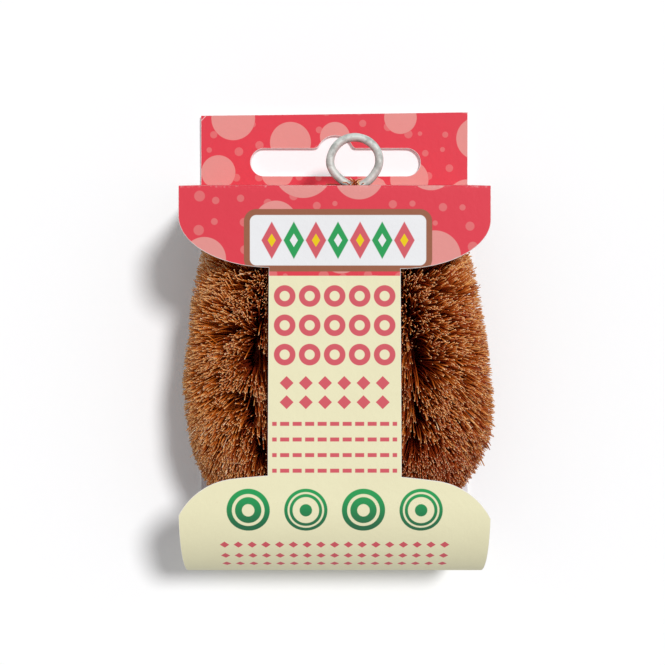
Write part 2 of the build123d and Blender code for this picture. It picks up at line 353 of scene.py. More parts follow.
@dataclass(frozen=True)
class PrintedCard:
    """The printed side: plain spots, a blank label, rows of simple shapes and a satin varnish."""

    red_from: float = 11.9
    back_red_below: float = -162.0
    ground_blur: float = 0.06
    spot_cell: float = 15.0
    spot_radii: tuple[float, float] = (0.24, 0.44)
    dot_cell: float = 5.2
    dot_radii: tuple[float, float] = (0.1, 0.22)
    dot_share: float = 0.45
    spot_scatter: float = 0.62
    spot_blur: float = 0.1
    label_middle: tuple[float, float] = (0.7, 19.3)
    label_half: tuple[float, float] = (19.6, 6.5)
    label_corner: float = 2.6
    label_rim: float = 1.25
    label_pitch: float = 4.6
    label_lozenges: int = 7
    label_lozenge: tuple[float, float] = (2.15, 3.9)
    label_eye: tuple[float, float] = (0.85, 1.4)
    rose_rows: tuple[MotifRows, ...] = (
        MotifRows(Motif.RING, (1.05, 2.25), (5.2, 6.1), (0.0, -1.6), 13.0, (-7.4, 10.4)),
        MotifRows(Motif.LOZENGE, (1.45, 1.45), (4.0, 4.0), (2.0, 10.4), 12.0, (-16.3, -8.5)),
        MotifRows(Motif.DASH, (0.95, 0.42), (2.6, 3.25), (0.0, 18.9), 13.0, (-29.6, -17.6)),
        MotifRows(Motif.LOZENGE, (1.0, 0.85), (2.9, 3.4), (0.0, 45.0), 25.0, (-53.3, -43.6)),
    )
    disc_middle_v: float = -36.9
    disc_pitch: float = 12.0
    disc_radius: float = 4.5
    disc_rim: float = 0.7
    disc_band: tuple[float, float] = (2.75, 3.4)
    disc_eye: float = 1.3
    disc_limit: float = 24.0
    grain_scale: float = 2.6
    grain_tint: float = 0.06
    grain_height: float = 0.35
    cloud_scale: float = 0.09
    cloud_tint: float = 0.08
    fray_scale: float = 1.3
    fray_reach: float = 0.16
    frayed_share: float = 0.5
    fold_v: float = 30.475
    crease_half: float = 0.2
    crack_scale: float = 1.1
    crack_span: tuple[float, float] = (0.5, 0.8)
    cracked_share: float = 0.25
    dimple_scale: float = 0.55
    bump_depth: float = 0.05 * MM
    least_roughness: float = 0.44
    rough_spread: float = 0.16
    specular: float = 0.12

    def spots(self, shade: CardShade, cell: float, radii: tuple[float, float]) -> Socket:
        """The mask of round spots scattered over the card.

        Args:
            shade: The material under construction.
            cell: How far apart the spots lie.
            radii: The smallest and the largest radius, as shares of the cell.

        Returns:
            The mask.
        """
        place = shade.node("CombineXYZ")
        shade.feed(place.inputs[0], shade.x)
        shade.feed(place.inputs[1], shade.v)
        cells = shade.node("TexVoronoi", voronoi_dimensions="2D", feature="F1")
        shade.feed(cells.inputs["Vector"], place.outputs[0])
        shade.feed(cells.inputs["Scale"], 1 / cell)
        shade.feed(cells.inputs["Randomness"], self.spot_scatter)
        size = shade.node("SeparateColor")
        shade.feed(size.inputs[0], cells.outputs["Color"])
        least, most = radii
        radius = shade.math("MULTIPLY_ADD", size.outputs[0], most - least, least)
        return shade.under(shade.minus(cells.outputs["Distance"], radius), 0.0, self.spot_blur / cell)

    def label(self, shade: CardShade, ground: object) -> Socket:
        """The blank label with its rim and a row of lozenges.

        Args:
            shade: The material under construction.
            ground: The colour round the label.

        Returns:
            The colour with the label on it.
        """
        x = shade.minus(shade.x, self.label_middle[0])
        v = shade.minus(shade.v, self.label_middle[1])
        over = []
        for place, half in zip((x, v), self.label_half):
            past = shade.minus(shade.math("ABSOLUTE", place), half - self.label_corner)
            over.append(shade.most(past, 0.0))
        outside = shade.minus(shade.far(*over), self.label_corner)
        colour = shade.blend(shade.under(outside, 0.0), ground, Ink.RIM_BROWN)
        colour = shade.blend(shade.under(outside, -self.label_rim), colour, Ink.LABEL_WHITE)
        cell = shade.wrapped(x, self.label_pitch)
        odd = shade.odd_cell(x, self.label_pitch)
        row = shade.about(x, self.label_lozenges * self.label_pitch / 2)
        tall = (self.label_lozenge, Ink.LEAF_GREEN, Ink.ROSE)
        small = (self.label_eye, Ink.LABEL_WHITE, Ink.YELLOW)
        for half, even_ink, odd_ink in (tall, small):
            mask = shade.times(shade.lozenge(cell, v, half), row)
            colour = shade.blend(mask, colour, shade.blend(odd, even_ink, odd_ink))
        return colour

    def discs(self, shade: CardShade, ground: object) -> Socket:
        """A row of green discs and rings across the footer.

        Args:
            shade: The material under construction.
            ground: The colour round them.

        Returns:
            The colour with the row on it.
        """
        shifted = shade.minus(shade.x, self.disc_pitch / 2)
        cell = shade.wrapped(shifted, self.disc_pitch)
        odd = shade.odd_cell(shifted, self.disc_pitch)
        up = shade.minus(shade.v, self.disc_middle_v)
        far = shade.far(cell, up)
        row = shade.about(shade.x, self.disc_limit)
        disc = shade.times(shade.under(far, self.disc_radius), row)
        shine = shade.span(up, -self.disc_radius, self.disc_radius)
        green = shade.blend(shine, Ink.DEEP_GREEN, Ink.LEAF_GREEN)
        hollow = shade.times(shade.under(far, self.disc_radius - self.disc_rim), odd)
        colour = shade.blend(disc, ground, green)
        colour = shade.blend(shade.times(hollow, row), colour, ground)
        marks = shade.most(shade.within(far, *self.disc_band), shade.under(far, self.disc_eye))
        return shade.blend(shade.times(marks, disc), colour, shade.blend(odd, Ink.CREAM, green))

    def worn(self, shade: CardShade, print_colour: object) -> Material:
        """Dim the print a little, fray it at the card's edge and crack it along the crease.

        Args:
            shade: The material under construction.
            print_colour: The colour of the print.

        Returns:
            The finished material.
        """
        grain = shade.noise(shade.place, self.grain_scale, 3.0)
        cloud = shade.noise(shade.place, self.cloud_scale)
        tint = shade.math("MULTIPLY_ADD", grain, self.grain_tint, shade.times(cloud, self.cloud_tint))
        dimmed = shade.blend(tint, print_colour, Ink.RIM_BROWN)
        fray = shade.times(shade.noise(shade.place, self.fray_scale, 3.0), self.fray_reach)
        frayed = shade.math("LESS_THAN", shade.from_edge, fray)
        crease = shade.about(shade.minus(shade.v, self.fold_v), self.crease_half, self.crease_half)
        cracks = shade.span(shade.noise(shade.place, self.crack_scale, 5.0), *self.crack_span)
        cracked = shade.times(shade.times(crease, cracks), self.cracked_share)
        wear = shade.most(shade.times(frayed, self.frayed_share), cracked)
        colour = shade.blend(wear, dimmed, Ink.CUT_WHITE)
        rough = shade.math("MULTIPLY_ADD", grain, self.rough_spread, self.least_roughness)
        dimples = shade.noise(shade.place, self.dimple_scale, 1.0)
        height = shade.math("MULTIPLY_ADD", grain, self.grain_height, dimples)
        return shade.finish(colour, rough, height, self.bump_depth, Specular_IOR_Level=self.specular)

    def material(self) -> Material:
        """The printed side's material, from the grounds up to the wear."""
        shade = CardShade("printed_card")
        big = self.spots(shade, self.spot_cell, self.spot_radii)
        small = shade.times(self.spots(shade, self.dot_cell, self.dot_radii), self.dot_share)
        red = shade.blend(shade.most(big, small), Ink.RED, Ink.PINK)
        cream = Ink.CREAM.linear
        for rows in self.rose_rows:
            cream = shade.blend(rows.mask(shade), cream, Ink.ROSE)
        cream = self.discs(shade, cream)
        above = shade.span(shade.v, self.red_from - self.ground_blur, self.red_from + self.ground_blur)
        behind = shade.under(shade.v, self.back_red_below, self.ground_blur)
        colour = shade.blend(shade.most(above, behind), cream, red)
        return self.worn(shade, self.label(shade, colour))


@dataclass(frozen=True)
class BareCard:
    """The unprinted side of the card, with flecks of paper fibre."""

    fleck_scale: float = 3.4
    fleck_span: tuple[float, float] = (0.42, 0.75)
    cloud_scale: float = 0.12
    cloud_tint: float = 0.12
    bump_depth: float = 0.03 * MM
    least_roughness: float = 0.64
    rough_spread: float = 0.15
    specular: float = 0.3

    def material(self) -> Material:
        """The bare side's material."""
        shade = CardShade("bare_card")
        flecks = shade.noise(shade.place, self.fleck_scale, 4.0)
        cloud = shade.noise(shade.place, self.cloud_scale)
        colour = shade.blend(shade.span(flecks, *self.fleck_span), Ink.BARE_CARD, Ink.CUT_WHITE)
        colour = shade.blend(shade.times(cloud, self.cloud_tint), colour, Ink.RIM_BROWN)
        rough = shade.math("MULTIPLY_ADD", flecks, self.rough_spread, self.least_roughness)
        return shade.finish(colour, rough, flecks, self.bump_depth, Specular_IOR_Level=self.specular)


@dataclass(frozen=True)
class CutCard:
    """The cut edge of the card, where its white core shows."""

    fuzz_scale: float = 5.0
    fuzz_share: float = 0.3
    bump_depth: float = 0.04 * MM
    roughness: float = 0.8
    specular: float = 0.2

    def material(self) -> Material:
        """The cut edge's material."""
        shade = CardShade("cut_card")
        fuzz = shade.noise(shade.place, self.fuzz_scale, 3.0)
        colour = shade.blend(shade.times(fuzz, self.fuzz_share), Ink.CUT_WHITE, Ink.BARE_CARD)
        return shade.finish(colour, self.roughness, fuzz, self.bump_depth, Specular_IOR_Level=self.specular)


@dataclass(frozen=True)
class Galvanised:
    """Zinc on drawn wire: pale and satin, with duller patches and small dents."""

    patch_scale: float = 620.0
    patch_span: tuple[float, float] = (0.42, 0.68)
    dent_scale: float = 1500.0
    dent_depth: float = 0.05 * MM
    roughness: float = 0.56
    rough_spread: float = 0.22
    metallic: float = 0.2

    def material(self) -> Material:
        """The wire's material, laid out by the place of the piece."""
        shade = Shade("galvanised_wire")
        place = shade.node("TexCoord").outputs["Object"]
        dull = shade.span(shade.noise(place, self.patch_scale, 3.0), *self.patch_span)
        dents = shade.noise(place, self.dent_scale)
        colour = shade.blend(dull, Ink.ZINC, Ink.ZINC_DULL)
        rough = shade.math("MULTIPLY_ADD", dull, self.rough_spread, self.roughness)
        return shade.finish(colour, rough, dents, self.dent_depth, Metallic=self.metallic)


@dataclass(frozen=True)
class CoirFibre:
    """Coir with painted light and shade along each fibre: darker towards its root as painted shade deep in
    the brush, through rust brown to a straw tip that is lighter as painted light, with a pale cut end that is
    partly the cut and partly a painted highlight.

    The bake map lays every fibre out alike: its tone across, and the way from its root to its tip upwards.
    """

    # Both ramps run from dark at the root to light at the tip, as painted shade and painted light along
    # fibres of even colour. The dark ramp, taken for low tones, also carries the tufts' painted shade.
    dark_stops: tuple[tuple[float, Ink], ...] = (
        (0.6, Ink.COIR_DARK_AND_SHADE),
        (0.9, Ink.COIR_RUST),
        (1.0, Ink.COIR_GOLD),
    )
    light_stops: tuple[tuple[float, Ink], ...] = (
        (0.0, Ink.COIR_DARK_AND_SHADE),
        (0.5, Ink.COIR_RUST),
        (0.86, Ink.COIR_BROWN),
        (1.0, Ink.COIR_STRAW),
    )
    bleached_stops: tuple[tuple[float, Ink], ...] = (
        (0.0, Ink.COIR_GOLD),
        (0.7, Ink.COIR_STRAW),
        (1.0, Ink.COIR_CUT_AND_GLINT),
    )
    band_scales: tuple[float, float, float] = (70.0, 7.0, 1.0)
    band_reach: float = 0.3
    bleached_span: tuple[float, float] = (0.979, 0.981)
    # Where the cut colour starts along the fibre, a little below its cap: partly the cut end, partly a
    # painted highlight.
    cut_and_glint_span: tuple[float, float] = (0.933, 0.943)
    own_scale: float = 240.0
    own_span: tuple[float, float] = (0.5, 0.62)
    least_pale: float = 0.12
    more_pale: float = 0.65
    roughness: float = 0.5
    specular: float = 0.1

    def material(self) -> Material:
        """The fibre's material."""
        shade = Shade("coir_fibre")
        place = shade.node("UVMap", uv_map=BAKE_MAP).outputs[0]
        parts = shade.node("SeparateXYZ")
        shade.feed(parts.inputs[0], place)
        tone, way = parts.outputs[0], parts.outputs[1]
        stretched = shade.node("Mapping")
        shade.feed(stretched.inputs["Vector"], place)
        shade.feed(stretched.inputs["Scale"], self.band_scales)
        banding = shade.minus(shade.noise(stretched.outputs[0], 1.0), 0.5)
        along = shade.math("MULTIPLY_ADD", banding, self.band_reach, way)
        dark, light = shade.ramp(along, self.dark_stops), shade.ramp(along, self.light_stops)
        colour = shade.blend(tone, dark, light)
        bleached = shade.ramp(way, self.bleached_stops)
        colour = shade.blend(shade.span(tone, *self.bleached_span), colour, bleached)
        along_tone = shade.node("CombineXYZ")
        shade.feed(along_tone.inputs[0], tone)
        own = shade.span(shade.noise(along_tone.outputs[0], self.own_scale), *self.own_span)
        pale = shade.math("MULTIPLY_ADD", own, self.more_pale, self.least_pale)
        # The pale tip is partly the cut end and partly a painted highlight.
        cut = shade.times(shade.span(way, *self.cut_and_glint_span), pale)
        colour = shade.blend(cut, colour, Ink.COIR_CUT_AND_GLINT)
        return shade.finish(colour, self.roughness, Specular_IOR_Level=self.specular)


def smooth(value: np.ndarray, low: float, high: float) -> np.ndarray:
    """How far values have come from low to high, smoothly from 0 to 1."""
    share = np.clip((value - low) / (high - low), 0, 1)
    return share * share * (3 - 2 * share)


def unit(vectors: np.ndarray) -> np.ndarray:
    """The given vectors at length 1."""
    return vectors / np.maximum(np.linalg.norm(vectors, axis=-1, keepdims=True), 1e-12)


def arc(
    centre: tuple[float, float],
    radii: tuple[float, float],
    start: float,
    end: float,
    step: float,
) -> np.ndarray:
    """Points along an arc of a circle or an upright ellipse.

    Args:
        centre: The centre.
        radii: The radii across and up.
        start: The angle of the first point, in degrees.
        end: The angle of the last point, in degrees.
        step: About how far apart the points lie.

    Returns:
        The points, ends included.
    """
    count = max(2, math.ceil(math.radians(abs(end - start)) * max(radii) / step))
    angles = np.radians(np.linspace(start, end, count + 1))
    return np.stack([centre[0] + radii[0] * np.cos(angles), centre[1] + radii[1] * np.sin(angles)], 1)


def arc_through(
    first: tuple[float, float],
    middle: tuple[float, float],
    last: tuple[float, float],
    step: float,
) -> np.ndarray:
    """Points along the circle's arc that runs through three points.

    Args:
        first: Where it starts.
        middle: A point on it.
        last: Where it ends.
        step: About how far apart the points lie.

    Returns:
        The points, ends included.
    """
    a, b, c = (complex(*point) for point in (first, middle, last))
    turned = (c - a) / (b - a)
    centre = a + (b - a) * (turned - abs(turned) ** 2) / (2j * turned.imag)
    radius = abs(a - centre)
    angles = [math.degrees(math.atan2((p - centre).imag, (p - centre).real)) for p in (a, b, c)]
    start, _, end = np.unwrap(angles, period=360)
    return arc((centre.real, centre.imag), (radius, radius), start, end, step)


def filled(loop: np.ndarray, step: float) -> np.ndarray:
    """The points of a closed outline, with more points along its long sides.

    Args:
        loop: The corners, in order.
        step: The longest side left as it is.

    Returns:
        The outline's points, without a repeated first point.
    """
    points = []
    for here, there in zip(loop, np.roll(loop, -1, axis=0)):
        length = math.dist(here, there)
        if length < 1e-7:
            continue
        count = max(1, math.ceil(length / step))
        for number in range(count):
            points.append(here + (there - here) * number / count)
    return np.array(points)


def new_mesh(name: str, points: np.ndarray, face_sets: Sequence[np.ndarray]) -> bpy.types.Mesh:
    """A mesh of smooth faces.

    Args:
        name: The mesh's name.
        points: The places of its points.
        face_sets: Arrays of faces, each with one number of corners.

    Returns:
        The mesh.
    """
    mesh = bpy.data.meshes.new(name)
    mesh.vertices.add(len(points))
    mesh.vertices.foreach_set("co", np.asarray(points, np.float32).ravel())
    corners = np.concatenate([faces.ravel() for faces in face_sets]).astype(np.int32)
    sizes = np.concatenate([np.full(len(faces), faces.shape[1]) for faces in face_sets])
    mesh.loops.add(len(corners))
    mesh.loops.foreach_set("vertex_index", corners)
    mesh.polygons.add(len(sizes))
    mesh.polygons.foreach_set("loop_start", (np.cumsum(sizes) - sizes).astype(np.int32))
    mesh.polygons.foreach_set("use_smooth", np.ones(len(sizes), bool))
    mesh.update(calc_edges=True)
    return mesh


def lay_bake_map(mesh: bpy.types.Mesh, corners: np.ndarray) -> None:
    """Give each corner of each face of a mesh its place on the bake map."""
    layer = mesh.uv_layers.new(name=BAKE_MAP)
    layer.uv.foreach_set("vector", np.asarray(corners, np.float32).ravel())


def new_piece(
    name: str,
    mesh: bpy.types.Mesh,
    body: str,
    nodes: Sequence[str],
) -> bpy.types.Object:
    """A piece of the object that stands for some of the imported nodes.

    Args:
        name: The piece's name.
        mesh: Its mesh.
        body: The body that it moves with.
        nodes: The nodes that it stands for.

    Returns:
        The piece.
    """
    piece = bpy.data.objects.new(name, mesh)
    bpy.context.scene.collection.objects.link(piece)
    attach(piece, body)
    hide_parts(*nodes)
    log.info("%s: %d faces, on %s", name, len(mesh.polygons), body)
    return piece


def round_core(out: np.ndarray, angle: np.ndarray) -> np.ndarray:
    """Ways square to the core, turned by angles from the way out of the loop to the front."""
    return np.cos(angle)[:, None] * out + np.sin(angle)[:, None] * np.array([0, 0, 1.0])


def tube_quads(rows: int, sides: int) -> np.ndarray:
    """The faces of a tube whose points run round it, row after row.

    Args:
        rows: How many rows of faces there are.
        sides: How many faces go round it.

    Returns:
        The faces, row after row.
    """
    ring = np.arange(rows)[:, None] * sides
    side = np.arange(sides)[None]
    here, there = ring + side, ring + (side + 1) % sides
    return np.stack([here, here + sides, there + sides, there], -1).reshape(-1, 4)


@dataclass(frozen=True)
class SleeveSizes:
    """The sizes of the folded card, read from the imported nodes."""

    half_width: float
    thickness: float
    depth: float
    wrap_start_y: float
    crease_y: float
    tab_top_y: float
    tab_z: float
    tab_root_y: float = 35.9 * MM
    strap_half: float = 13.9 * MM

    @classmethod
    def from_frame(cls) -> "SleeveSizes":
        """Read the sizes from the boxes of the card's nodes."""
        back_low, back_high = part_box("card_back_panel")
        front_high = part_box("card_front_panel")[1]
        flap_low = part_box("card_top_flap")[0]
        thickness = back_high.z - back_low.z
        return cls(
            half_width=back_high.x,
            thickness=thickness,
            depth=front_high.z,
            wrap_start_y=back_low.y,
            crease_y=front_high.y - thickness / 2,
            tab_top_y=back_high.y,
            tab_z=flap_low.z + thickness / 2,
        )

    @property
    def half(self) -> float:
        """Half the card's thickness."""
        return self.thickness / 2

    @property
    def crease_z(self) -> float:
        """The height of the crease's axis."""
        return self.depth - self.half

    @property
    def middle_z(self) -> float:
        """The height midway between the panels."""
        return self.depth / 2

    @property
    def wrap_radius(self) -> float:
        """The radius of the wrap at the middle of the card."""
        return self.depth / 2 - self.half

    @property
    def back_run(self) -> float:
        """The length of the back panel."""
        return self.tab_top_y - self.wrap_start_y

    @property
    def front_from(self) -> float:
        """The run along the card at which the flat front starts."""
        return self.back_run + math.pi * self.wrap_radius

    @property
    def sleeve_run(self) -> float:
        """The length of the card from the tab's top behind to the crease in front."""
        return self.front_from + self.crease_y - self.wrap_start_y

    @property
    def shelf_way(self) -> np.ndarray:
        """The way from the crease down the shelf to the root of the tab, in Y and Z."""
        return np.array([self.tab_root_y - self.crease_y, self.tab_z - self.crease_z])


@dataclass
class FlatCard:
    """A card's flat shape in metres, across and along, cut to its outline and filled with small triangles."""

    loops: list[np.ndarray]
    fold_run: float
    rows: np.ndarray
    spacing: float = 1.25 * MM
    places: np.ndarray = field(init=False)
    triangles: np.ndarray = field(init=False)
    rims: np.ndarray = field(init=False)
    outward: np.ndarray = field(init=False)
    from_edge: np.ndarray = field(init=False)

    def __post_init__(self) -> None:
        """Cut the shape, and measure it."""
        self.loops = [filled(loop, self.spacing) for loop in self.loops]
        self.cut()
        self.find_rims()
        self.from_edge = self.away_from(self.sides(True), self.places)

    def sides(self, cut_only: bool) -> tuple[np.ndarray, np.ndarray]:
        """The ends of every side of the outline, or of every side but the fold."""
        first = np.concatenate(self.loops)
        last = np.concatenate([np.roll(loop, -1, axis=0) for loop in self.loops])
        if cut_only:
            keep = ~(self.at_fold(first) & self.at_fold(last))
            first, last = first[keep], last[keep]
        return first, last

    def at_fold(self, points: np.ndarray) -> np.ndarray:
        """Whether points lie on the fold."""
        return abs(points[:, 1] - self.fold_run) <= NEAR

    def away_from(self, sides: tuple[np.ndarray, np.ndarray], points: np.ndarray) -> np.ndarray:
        """How far points lie from the nearest of some sides.

        Args:
            sides: The first and last points of the sides.
            points: The points.

        Returns:
            The distances.
        """
        first, last = sides
        way = last - first
        length = np.maximum((way**2).sum(1), 1e-18)
        nearest = np.full(len(points), np.inf)
        for begin, step, squared in zip(first, way, length):
            share = np.clip(((points - begin) @ step) / squared, 0, 1)
            gap = ((points - begin - share[:, None] * step) ** 2).sum(1)
            nearest = np.minimum(nearest, gap)
        return np.sqrt(nearest)

    def inside(self, points: np.ndarray) -> np.ndarray:
        """Whether points lie on the card, and not in a hole."""
        first, last = self.sides(False)
        crossings = np.zeros(len(points), int)
        for (ax, ay), (bx, by) in zip(first, last):
            spans = (ay > points[:, 1]) != (by > points[:, 1])
            with np.errstate(divide="ignore", invalid="ignore"):
                meets = ax + (points[:, 1] - ay) * (bx - ax) / (by - ay)
            crossings += spans & (points[:, 0] < meets)
        return crossings % 2 == 1

    def cut(self) -> None:
        """Fill the outline with points and join them into triangles."""
        rim_points = np.concatenate(self.loops)
        low, high = rim_points.min(0), rim_points.max(0)
        across = np.arange(low[0] + self.spacing / 2, high[0], self.spacing)
        along = np.concatenate([np.arange(low[1] + self.spacing / 2, high[1], self.spacing), self.rows])
        grid = np.stack(np.meshgrid(across, along), -1).reshape(-1, 2)
        grid = grid[self.inside(grid)]
        grid = grid[self.away_from(self.sides(False), grid) > self.spacing * 0.45]
        points = np.concatenate([rim_points, grid])
        edges = []
        begin = 0
        for loop in self.loops:
            numbers = np.arange(begin, begin + len(loop))
            edges += list(zip(numbers.tolist(), np.roll(numbers, -1).tolist()))
            begin += len(loop)
        scaled = [Vector(point) for point in (points / MM).tolist()]
        found = delaunay_2d_cdt(scaled, edges, [], 0, 1e-5)
        self.places = np.array([tuple(place) for place in found[0]]) * MM
        triangles = np.array([face for face in found[2] if len(face) == 3])
        a, b, c = (self.places[triangles[:, corner]] for corner in range(3))
        area = (b[:, 0] - a[:, 0]) * (c[:, 1] - a[:, 1]) - (b[:, 1] - a[:, 1]) * (c[:, 0] - a[:, 0])
        triangles[area < 0] = triangles[area < 0][:, ::-1]
        keep = self.inside((a + b + c) / 3) & (abs(area) > 1e-13)
        self.triangles = triangles[keep]
        self.open_corners()

    def open_corners(self) -> None:
        """Split the triangles that lie between three points of the outline, as those in a sharp corner do."""
        on_outline = self.away_from(self.sides(False), self.places) < 1e-7
        split = on_outline[self.triangles].all(1)
        whole = self.triangles[split]
        middle = len(self.places) + np.arange(len(whole))
        self.places = np.concatenate([self.places, self.places[whole].mean(1)])
        parts = [np.stack([whole[:, a], whole[:, b], middle], 1) for a, b in ((0, 1), (1, 2), (2, 0))]
        self.triangles = np.concatenate([self.triangles[~split], *parts])

    def find_rims(self) -> None:
        """Find the sides that only one triangle has, and the way out of the card at their ends."""
        ahead = np.concatenate([self.triangles[:, [a, b]] for a, b in ((0, 1), (1, 2), (2, 0))])
        known = set(map(tuple, ahead.tolist()))
        self.rims = np.array([pair for pair in known if pair[::-1] not in known])
        self.rims = self.rims[np.lexsort((self.rims[:, 1], self.rims[:, 0]))]
        way = unit(self.places[self.rims[:, 1]] - self.places[self.rims[:, 0]])
        out = np.stack([way[:, 1], -way[:, 0]], 1)
        self.outward = np.zeros((len(self.places), 2))
        for end in range(2):
            np.add.at(self.outward, self.rims[:, end], out)
        self.outward = unit(self.outward)


@dataclass
class FoldedCard:
    """One bent sheet of card with its printed side, its bare side and its cut edge."""

    sizes: SleeveSizes
    name: str
    body: str
    nodes: tuple[str, ...]
    fold_run: float
    whole_run: float = field(init=False)
    rim_rows: int = 6
    cut_bulge_share: float = 0.25
    fold_pinch_share: float = 0.0
    fold_pinch_reach: float = 0.5 * MM
    sharp_from: float = 38.0
    map_along: tuple[float, float] = (0.01, 0.98)
    map_printed: tuple[float, float] = (0.01, 0.62)
    map_bare: tuple[float, float] = (0.65, 0.29)
    map_edge: tuple[float, float] = (0.955, 0.035)
    edge_shares: tuple[float, float] = (0.8, 0.2)

    def bend(self, places: np.ndarray) -> tuple[np.ndarray, np.ndarray, np.ndarray]:
        """Where flat places lie on the bent card, with the ways along it and out of its printed side."""
        raise NotImplementedError

    def print_along(self, run: np.ndarray) -> np.ndarray:
        """The print's own measure along the card, in millimetres, which is Y on the front panel."""
        raise NotImplementedError

    def build(self, flat: FlatCard) -> bpy.types.Object:
        """Bend a flat card into shape and give it its thickness.

        Args:
            flat: The flat shape.

        Returns:
            The piece.
        """
        points, way, out = self.bend(flat.places)
        near_fold = np.exp(-abs(flat.places[:, 1] - self.fold_run) / self.fold_pinch_reach)
        half = (self.sizes.half * (1 - self.fold_pinch_share * near_fold))[:, None]
        count = len(points)
        rim = np.unique(flat.rims)
        on_fold = flat.at_fold(flat.places[rim])
        leave = flat.outward[rim]
        leave[on_fold] = (0, 1 if self.fold_run > 0 else -1)
        leave = leave[:, :1] * np.array([[1.0, 0, 0]]) + leave[:, 1:] * way[rim]
        bulge = np.where(on_fold[:, None], half[rim], self.sizes.half * self.cut_bulge_share)
        rows = []
        for row in range(1, self.rim_rows):
            angle = math.pi * row / self.rim_rows
            aside = out[rim] * half[rim] * math.cos(angle)
            rows.append(points[rim] + aside + leave * bulge * math.sin(angle))
        everything = np.concatenate([points + out * half, points - out * half, *rows])
        walls, wall_rows = self.walls(flat, rim, count)
        mesh = new_mesh(self.name, everything, [flat.triangles, flat.triangles[:, ::-1] + count, walls])
        self.mark(mesh, flat, rim, walls, wall_rows)
        return new_piece(self.name, mesh, self.body, self.nodes)

    def walls(self, flat: FlatCard, rim: np.ndarray, count: int) -> tuple[np.ndarray, np.ndarray]:
        """The faces round the rim.

        Args:
            flat: The flat shape.
            rim: The points on the rim.
            count: How many points each side has.

        Returns:
            The faces, and the row that each starts from.
        """
        rank = np.full(count, -1)
        rank[rim] = np.arange(len(rim))

        def numbers(points: np.ndarray, row: int) -> np.ndarray:
            """The numbers of some rim points in one row."""
            if row == 0:
                return points
            if row == self.rim_rows:
                return points + count
            return 2 * count + (row - 1) * len(rim) + rank[points]

        here, there = flat.rims.T
        faces = []
        for row in range(self.rim_rows):
            upper = (numbers(there, row), numbers(here, row))
            faces.append(np.stack([*upper, numbers(here, row + 1), numbers(there, row + 1)], 1))
        return np.concatenate(faces), np.repeat(np.arange(self.rim_rows), len(flat.rims))

    def mark(
        self,
        mesh: bpy.types.Mesh,
        flat: FlatCard,
        rim: np.ndarray,
        walls: np.ndarray,
        wall_rows: np.ndarray,
    ) -> None:
        """Mark each face's side, each point's place on the print and each corner's place on the bake map.

        Args:
            mesh: The mesh.
            flat: The flat shape.
            rim: The points on the rim.
            walls: The faces round the rim.
            wall_rows: The row that each of them starts from.
        """
        x, run = flat.places.T
        folded = np.tile(flat.at_fold(flat.places)[flat.rims].all(1), self.rim_rows)
        wall_side = np.where(folded, Face.PRINTED.value, Face.CUT.value)
        flat_sides = np.repeat([Face.PRINTED.value, Face.BARE.value], len(flat.triangles))
        mesh.polygons.foreach_set("material_index", np.concatenate([flat_sides, wall_side]).astype(np.int32))
        at = np.stack([x / MM, self.print_along(run), flat.from_edge / MM], 1)
        place = np.concatenate([at, at] + [at[rim]] * (self.rim_rows - 1))
        named = mesh.attributes.new("print_place", "FLOAT_VECTOR", "POINT")
        named.data.foreach_set("vector", place.astype(np.float32).ravel())
        across = (x + self.sizes.half_width) / (2 * self.sizes.half_width)
        along = self.map_along[0] + self.map_along[1] * np.clip(run / self.whole_run, 0, 1)
        pieces = []
        both = ((self.map_printed, flat.triangles), (self.map_bare, flat.triangles[:, ::-1]))
        for (begin, wide), faces in both:
            pieces.append(np.stack([begin + wide * across, along], 1)[faces.ravel()])
        numbers = np.arange(len(x))
        ends = np.concatenate([numbers, numbers, np.tile(rim, self.rim_rows - 1)])[walls]
        strip = (wall_rows[:, None] + np.array([0, 0, 1, 1])) / self.rim_rows
        strip = self.map_edge[0] + self.map_edge[1] * strip
        up = self.edge_shares[0] * along[ends] + self.edge_shares[1] * across[ends]
        pieces.append(np.stack([strip, up], -1).reshape(-1, 2))
        lay_bake_map(mesh, np.concatenate(pieces))
        mesh.set_sharp_from_angle(angle=math.radians(self.sharp_from))
        mesh.update()


@dataclass
class HangSlot:
    """The outline of the slot in both layers of the tab, about its middle."""

    length: float = 41.5 * MM
    height: float = 6.83 * MM
    middle: tuple[float, float] = (0.27 * MM, -11.77 * MM)
    bump_radius: float = 4.6 * MM
    bump_rise: float = 1.97 * MM
    bump_fillet: float = 1.2 * MM
    step: float = 0.5 * MM

    def outline(self, tab_top_y: float, shift: tuple[float, float] = (0.0, 0.0)) -> np.ndarray:
        """The slot's outline seen from the front.

        Args:
            tab_top_y: The top of the tab.
            shift: How far this layer's slot was cut out of place.

        Returns:
            The points, against the clock.
        """
        end = self.height / 2
        reach = self.length / 2 - end
        corner_y = end + self.bump_fillet
        around = self.bump_radius + self.bump_fillet
        corner_x = math.sqrt(around**2 - (corner_y - self.bump_rise) ** 2)
        lean = math.degrees(math.atan2(corner_y - self.bump_rise, corner_x))
        fillet = (self.bump_fillet, self.bump_fillet)
        parts = [
            arc((reach, 0), (end, end), -90, 90, self.step),
            arc((corner_x, corner_y), fillet, 270, 180 + lean, self.step),
            arc((0, self.bump_rise), (self.bump_radius, self.bump_radius), lean, 180 - lean, self.step),
            arc((-corner_x, corner_y), fillet, 360 - lean, 270, self.step),
            arc((-reach, 0), (end, end), 90, 270, self.step),
        ]
        middle = (self.middle[0] + shift[0], tab_top_y + self.middle[1] + shift[1])
        return np.concatenate(parts) + middle


